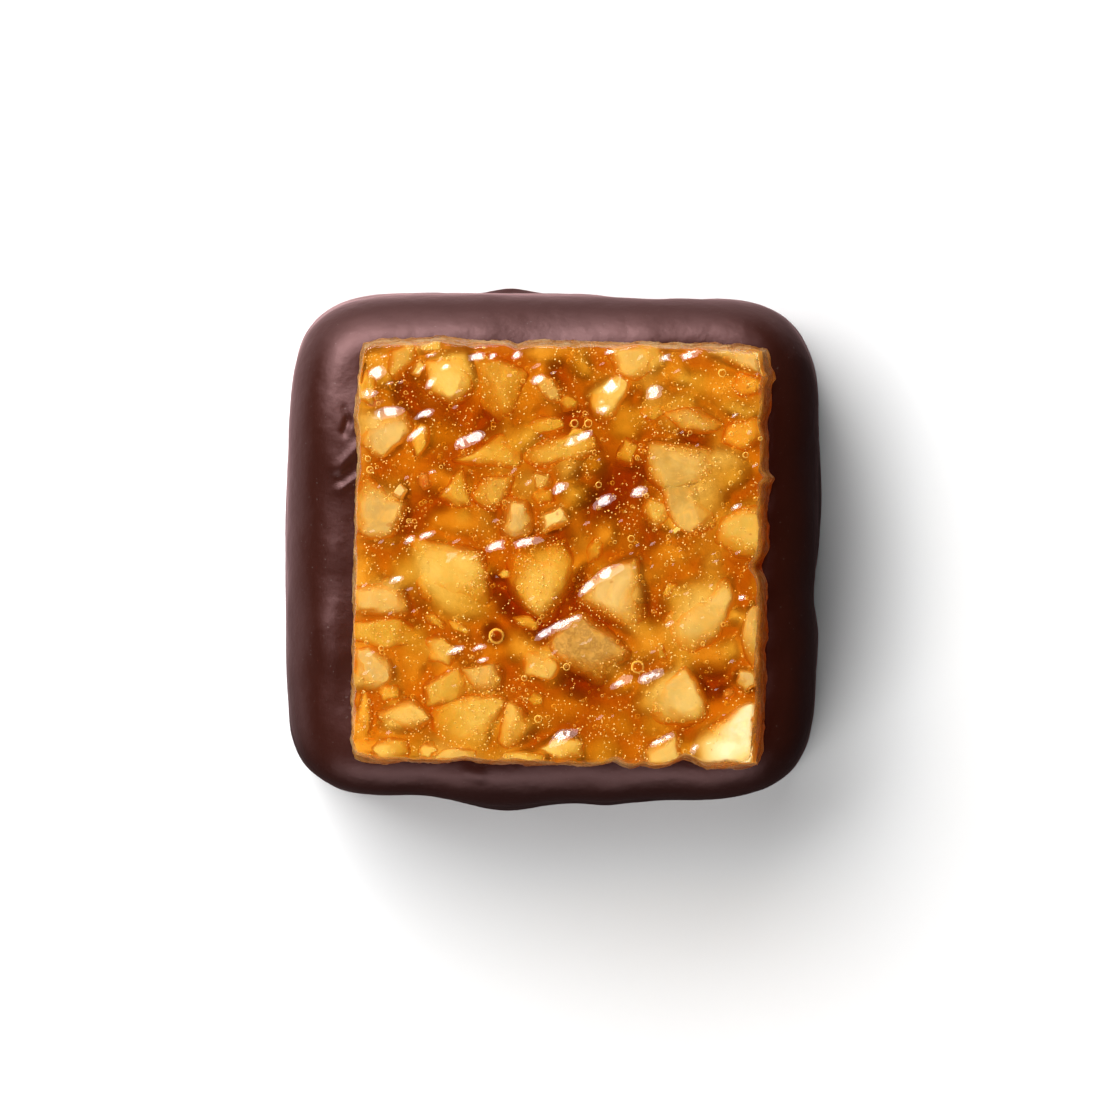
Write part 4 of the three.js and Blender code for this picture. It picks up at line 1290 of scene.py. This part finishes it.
def closed_slab(top, index, settings, u, v, levels):
    """Closes a grid of top points with sides down to the slab's underside, which is one face."""
    a, b, c, d = index[:-1, :-1], index[1:, :-1], index[1:, 1:], index[:-1, 1:]
    faces = np.stack([a, b, c, d], axis=2).reshape(-1, 4).tolist()
    edge = np.concatenate([index[:-1, 0], index[-1, :-1], index[:0:-1, -1], index[0, :0:-1]])
    points = [top]
    total = len(top)
    ring = edge
    for share in np.linspace(1, 0, levels + 1)[1:]:
        level = top[edge, 2] * share
        places = slab_places(settings, u[edge], v[edge], np.minimum(level, SLAB_THICK))
        places[:, 2] = level
        points.append(places)
        new_ring = total + np.arange(len(edge))
        faces += np.stack([ring, new_ring, np.roll(new_ring, -1), np.roll(ring, -1)], axis=1).tolist()
        ring, total = new_ring, total + len(edge)
    return np.vstack(points), faces, [ring[::-1].tolist()]


def in_slab(mesh):
    """A mesh's points in the slab's own millimetres."""
    to_slab = slab_matrix().inverted()
    points = np.zeros(len(mesh.vertices) * 3)
    mesh.vertices.foreach_get("co", points)
    points = points.reshape(-1, 3) @ np.array(to_slab.to_3x3()).T + np.array(to_slab.translation)
    return points / MM


def covers(mesh):
    """How deep under the glaze each point of the nuts belongs."""
    cover = np.zeros(len(mesh.vertices))
    mesh.attributes["cover"].data.foreach_get("value", cover)
    return cover


def search_tree(piece, lifted=False):
    """A search tree of a piece, or of the nuts with each lifted by how deep it lies."""
    mesh = piece.data
    points = in_slab(mesh)
    if lifted:
        points[:, 2] += covers(mesh)
    return BVHTree.FromPolygons(points.tolist(), [tuple(p.vertices) for p in mesh.polygons])


def landed_on(tree, x, y):
    """The height and the face of the tree's surface under each place, or 0 and -1 where it has none."""
    down = Vector((0, 0, -1))
    heights, faces = np.zeros(len(x)), np.full(len(x), -1)
    for i in range(len(x)):
        place, _, face, _ = tree.ray_cast(Vector((x[i], y[i], 20.0)), down)
        if place is not None:
            heights[i], faces[i] = place.z, face
    return heights, faces


def fallen_on(tree, x, y):
    return landed_on(tree, x, y)[0]


def softened(heights, cells):
    """A grid of heights blurred over a number of cells."""
    span = int(3 * cells) + 1
    weights = bell(np.arange(-span, span + 1), cells * math.sqrt(2))
    weights /= weights.sum()
    for axis in (0, 1):
        padded = np.pad(heights, [(span, span) if a == axis else (0, 0) for a in (0, 1)], mode="edge")
        count = heights.shape[axis]
        heights = sum(
            weight * np.take(padded, range(step, step + count), axis=axis)
            for step, weight in enumerate(weights)
        )
    return heights


def caramel_swell(x, y):
    """Slow swells of the caramel's surface, left as it set."""
    slow = 0.07 * np.sin(0.62 * x + 1.3) * np.cos(0.55 * y - 0.4) + 0.05 * np.sin(1.3 * x - 1.1 * y + 0.7)
    return slow + drifts(on_plane(x, y), GLAZE_SWELLS)


def with_glints(heights, x, y):
    """The glaze with a small tilted facet at each place where it shines."""
    mirror = Vector(SHINE_WAY).normalized() + Vector((0, 0, 1))
    rise_x, rise_y = -mirror.x / mirror.z, -mirror.y / mirror.z
    draw = np.random.default_rng(SPARKLE_SEED)
    sparkles = [
        (
            *draw.uniform(-SPARKLE_REACH, SPARKLE_REACH, 2),
            draw.uniform(*SPARKLE_LENGTHS),
            SPARKLE_WIDTH,
            draw.uniform(*SPARKLE_TURNS),
        )
        for _ in range(SPARKLES)
    ]
    for *at, long, wide, turn in GLINTS + sparkles:
        middle_x, middle_y = in_slab_axes(*at)
        way = math.radians(turn) - SLAB_TURN
        count = math.ceil(long / GLINT_LONGEST)
        for step in (np.arange(count) - (count - 1) / 2) * long / count:
            dx = x - middle_x - step * math.cos(way)
            dy = y - middle_y - step * math.sin(way)
            along = (dx * math.cos(way) + dy * math.sin(way)) / (GLINT_LONG_SHARE * long / count)
            across = (dy * math.cos(way) - dx * math.sin(way)) / wide
            share = np.exp(-((along**2 + across**2) ** 2))
            here = (heights * share).sum() / share.sum()
            facet = here + rise_x * dx + rise_y * dy - GLINT_CURVE * (dx * dx + dy * dy) / 2
            heights = heights * (1 - share) + facet * share
    return heights


def glaze_heights(nuts, x, y, shape, cell):
    """The glaze's top: level caramel, drawn up over the nuts that stand out of it."""
    level = SLAB_THICK + caramel_swell(x, y)
    wet = fallen_on(search_tree(nuts, lifted=True), x, y)
    draped = softened(np.maximum(level, wet).reshape(shape), GLAZE_BLUR / cell)
    draped = with_glints(draped, x.reshape(shape), y.reshape(shape))
    ripples = drifts(on_plane(x, y), GLAZE_RIPPLES)
    return softened(draped, GLAZE_LAST_BLUR / cell) + ripples.reshape(shape)


def keep_under(nuts, glaze):
    """Sets every part of the nuts at least as far under the glaze as the piece's cover."""
    mesh = nuts.data
    points = in_slab(mesh)
    top = fallen_on(glaze, points[:, 0], points[:, 1])
    sunk = np.minimum(points[:, 2], top - covers(mesh))
    points[:, 2] = np.where(top > WALL_TOP, sunk, points[:, 2])
    mesh.vertices.foreach_set("co", (points * MM).ravel())
    mesh.transform(slab_matrix())
    mesh.update()


def caramel_mesh(nuts, settings):
    """The closed body of caramel: glazed top, cut sides and flat underside."""
    spread = np.linspace(-1, 1, GLAZE_GRID + 1)
    shape = (GLAZE_GRID + 1, GLAZE_GRID + 1)
    u, v = (w.ravel() for w in np.meshgrid(spread, spread, indexing="ij"))
    top = slab_places(settings, u, v, np.full(len(u), SLAB_THICK))
    cell = settings.wide / MM / GLAZE_GRID
    height = glaze_heights(nuts, top[:, 0], top[:, 1], shape, cell).ravel()
    inward = (1 - np.maximum(np.abs(u), np.abs(v))) * settings.wide / MM / 2
    from_edge = 1 - np.clip(inward / RIM_ROUND, 0, 1)
    rim = RIM_ROUND * (1 - np.sqrt(np.clip(1 - from_edge**2, 0, 1)))
    top[:, 2] = height - rim
    index = np.arange(len(u)).reshape(shape)
    return closed_slab(top, index, settings, u, v, WALL_LEVELS)


class PRALINE_OT_add_caramel(bpy.types.Operator):
    """Add the clear caramel round the nuts. The nuts come first, because the glaze drapes over them"""

    bl_idname = "praline.add_caramel"
    bl_label = "Add Caramel"

    def execute(self, context):
        settings = context.scene.praline_caramel
        nuts = bpy.data.objects["nut_pieces"]
        points, faces, ends = caramel_mesh(nuts, settings)
        piece = make_piece("caramel", points, faces, slab_matrix(), ends)
        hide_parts("brittle_slab")
        piece.data.materials.append(caramel_glass())
        keep_under(nuts, search_tree(piece))
        return {"FINISHED"}


# ---------------------------------------------------------------- the bubbles


def scattered(settings, margin, count, draw):
    """Random places on the slab, away from its cut sides."""
    half_x, half_y = settings.wide / MM / 2 - margin, settings.deep / MM / 2 - margin
    return draw.uniform(-half_x, half_x, count), draw.uniform(-half_y, half_y, count)


class PRALINE_OT_add_bubbles(bpy.types.Operator):
    """Add the air bubbles and the nut dust caught in the caramel under the glaze"""

    bl_idname = "praline.add_bubbles"
    bl_label = "Add Bubbles"

    def execute(self, context):
        settings = context.scene.praline_caramel
        draw = np.random.default_rng(settings.seed)
        nuts = search_tree(bpy.data.objects["nut_pieces"])
        glaze = search_tree(bpy.data.objects["caramel"])
        tries = settings.bubbles
        x, y = scattered(settings, BUBBLE_MARGIN, tries, draw)
        smallest, largest = BUBBLE_RADII
        radius = smallest + (largest - smallest) * draw.random(tries) ** BUBBLE_SMALLNESS
        depth = draw.random(tries)
        broad_x, broad_y, widths = np.transpose(BROAD_BUBBLES)
        broad_x, broad_y = in_slab_axes(broad_x, broad_y)
        x, y = np.append(x, broad_x), np.append(y, broad_y)
        radius, depth = np.append(radius, widths / 2), np.append(depth, 0 * widths)
        top = fallen_on(glaze, x, y)
        low = np.maximum(fallen_on(nuts, x, y), top - BUBBLE_DEEPEST)
        room = top - low - 2 * radius - 2 * BUBBLE_FILM
        points, faces, count = [], [], 0
        fine_ball, plain_ball = unit_ball(3), unit_ball(2)
        for i in range(len(x)):
            if room[i] < 0 and i < tries:
                continue
            ball, ball_faces = plain_ball if radius[i] < ROUND_FROM else fine_ball
            height = top[i] - BUBBLE_FILM - radius[i] - depth[i] * max(room[i], 0)
            points.append(ball * radius[i] + (x[i], y[i], height))
            faces.append(ball_faces + count)
            count += len(ball)
        piece = make_piece("bubbles", np.vstack(points), np.vstack(faces), slab_matrix())
        piece.data.materials.append(bubble_wall())
        self.add_dust(settings, glaze, nuts, draw)
        return {"FINISHED"}

    def add_dust(self, settings, glaze, nuts, draw):
        """Fine golden dust of nut, most of it just under the glaze."""
        tries = settings.dust
        x, y = scattered(settings, DUST_MARGIN, tries, draw)
        radius = draw.uniform(*DUST_RADII, tries)
        top = fallen_on(glaze, x, y)
        room = np.minimum(top - fallen_on(nuts, x, y), DUST_DEEPEST) - 2 * radius - BUBBLE_FILM
        thickness = 0.5 + drifts(on_plane(x, y), DUST_DRIFTS)
        kept = (room > DUST_ROOM) & (thickness > draw.random(tries) * DUST_THINNING)
        ball, ball_faces = unit_ball(1)
        height = top - BUBBLE_FILM - radius - draw.random(tries) ** 2 * room
        middle = np.stack([x, y, height], axis=1)[kept]
        points = ball[None] * radius[kept][:, None, None] + middle[:, None]
        faces = ball_faces[None] + len(ball) * np.arange(kept.sum())[:, None, None]
        piece = make_piece("nut_dust", points.reshape(-1, 3), faces.reshape(-1, 3), slab_matrix())
        piece.data.materials.append(golden_dust())


# ---------------------------------------------------------------- the stage


def add_soft_box(name, toward, distance, size, strength, task):
    """A soft box in a direction from the praline, with one of the tasks that SOFT_BOXES names."""
    light = bpy.data.lights.new(name, "AREA")
    light.shape = "RECTANGLE"
    light.size, light.size_y = size
    light.energy = strength
    lamp = bpy.data.objects.new(name, light)
    lamp.visible_diffuse = task == "glow"
    lamp.visible_glossy = task != "glow"
    bpy.context.scene.collection.objects.link(lamp)
    way = Vector(toward).normalized()
    lamp.location = way * distance + Vector(LIT_MIDDLE)
    lamp.rotation_mode = "QUATERNION"
    lamp.rotation_quaternion = way.to_track_quat("Z", "Y")
    if task == "coat shine":
        lit = bpy.data.collections.new(name + "_falls_on")
        lit.objects.link(bpy.data.objects["dark_chocolate_coat"])
        lamp.light_linking.receiver_collection = lit


class PRALINE_OT_set_stage(bpy.types.Operator):
    """Set the white floor, the soft studio light and the camera that looks straight down"""

    bl_idname = "praline.set_stage"
    bl_label = "Set Stage"

    def execute(self, context):
        scene, settings = context.scene, context.scene.praline_stage
        half = settings.floor_size / 2
        corners = [(-half, -half, 0), (half, -half, 0), (half, half, 0), (-half, half, 0)]
        mesh = bpy.data.meshes.new("floor")
        mesh.from_pydata(corners, [], [(0, 1, 2, 3)])
        mesh.materials.append(white_floor())
        floor = bpy.data.objects.new("floor", mesh)
        scene.collection.objects.link(floor)

        for soft_box in SOFT_BOXES:
            add_soft_box(*soft_box)
        scene.world = studio()

        camera = bpy.data.cameras.new("camera")
        camera.lens = settings.lens
        camera.sensor_width = SENSOR
        camera.clip_start, camera.clip_end = 0.01, 10
        holder = bpy.data.objects.new("camera", camera)
        scene.collection.objects.link(holder)
        holder.location = (*CAMERA_AT, settings.camera_height)
        scene.camera = holder

        scene.view_settings.view_transform = "Standard"
        for name, value in BOUNCES.items():
            setattr(scene.cycles, name, value)
        return {"FINISHED"}


# ---------------------------------------------------------------- the add-on


class PRALINE_PT_sidebar(bpy.types.Panel):
    """Lists the praline's pieces and their settings"""

    bl_label = "Praline"
    bl_idname = "PRALINE_PT_sidebar"
    bl_space_type = "VIEW_3D"
    bl_region_type = "UI"
    bl_category = "Praline"

    def draw(self, context):
        for operator, settings in PARTS:
            box = self.layout.box()
            box.operator(operator.bl_idname)
            if settings:
                group = getattr(context.scene, settings)
                for name in group.__annotations__:
                    box.prop(group, name)


GROUPS = {
    "praline_coat": CoatSettings,
    "praline_nuts": NutSettings,
    "praline_caramel": CaramelSettings,
    "praline_stage": StageSettings,
}
PARTS = [
    (PRALINE_OT_add_coat, "praline_coat"),
    (PRALINE_OT_add_nuts, "praline_nuts"),
    (PRALINE_OT_add_nut_bed, None),
    (PRALINE_OT_add_caramel, "praline_caramel"),
    (PRALINE_OT_add_bubbles, None),
    (PRALINE_OT_set_stage, "praline_stage"),
]
CLASSES = [*GROUPS.values(), *(operator for operator, _ in PARTS), PRALINE_PT_sidebar]


def register():
    for cls in CLASSES:
        bpy.utils.register_class(cls)
    for name, group in GROUPS.items():
        setattr(bpy.types.Scene, name, PointerProperty(type=group))


def unregister():
    for name in GROUPS:
        delattr(bpy.types.Scene, name)
    for cls in reversed(CLASSES):
        bpy.utils.unregister_class(cls)


def main():
    register()
    bpy.ops.praline.add_coat()
    bpy.ops.praline.add_nuts()
    bpy.ops.praline.add_nut_bed()
    bpy.ops.praline.add_caramel()
    bpy.ops.praline.add_bubbles()
    bpy.ops.praline.set_stage()


if __name__ == "__main__":
    main()
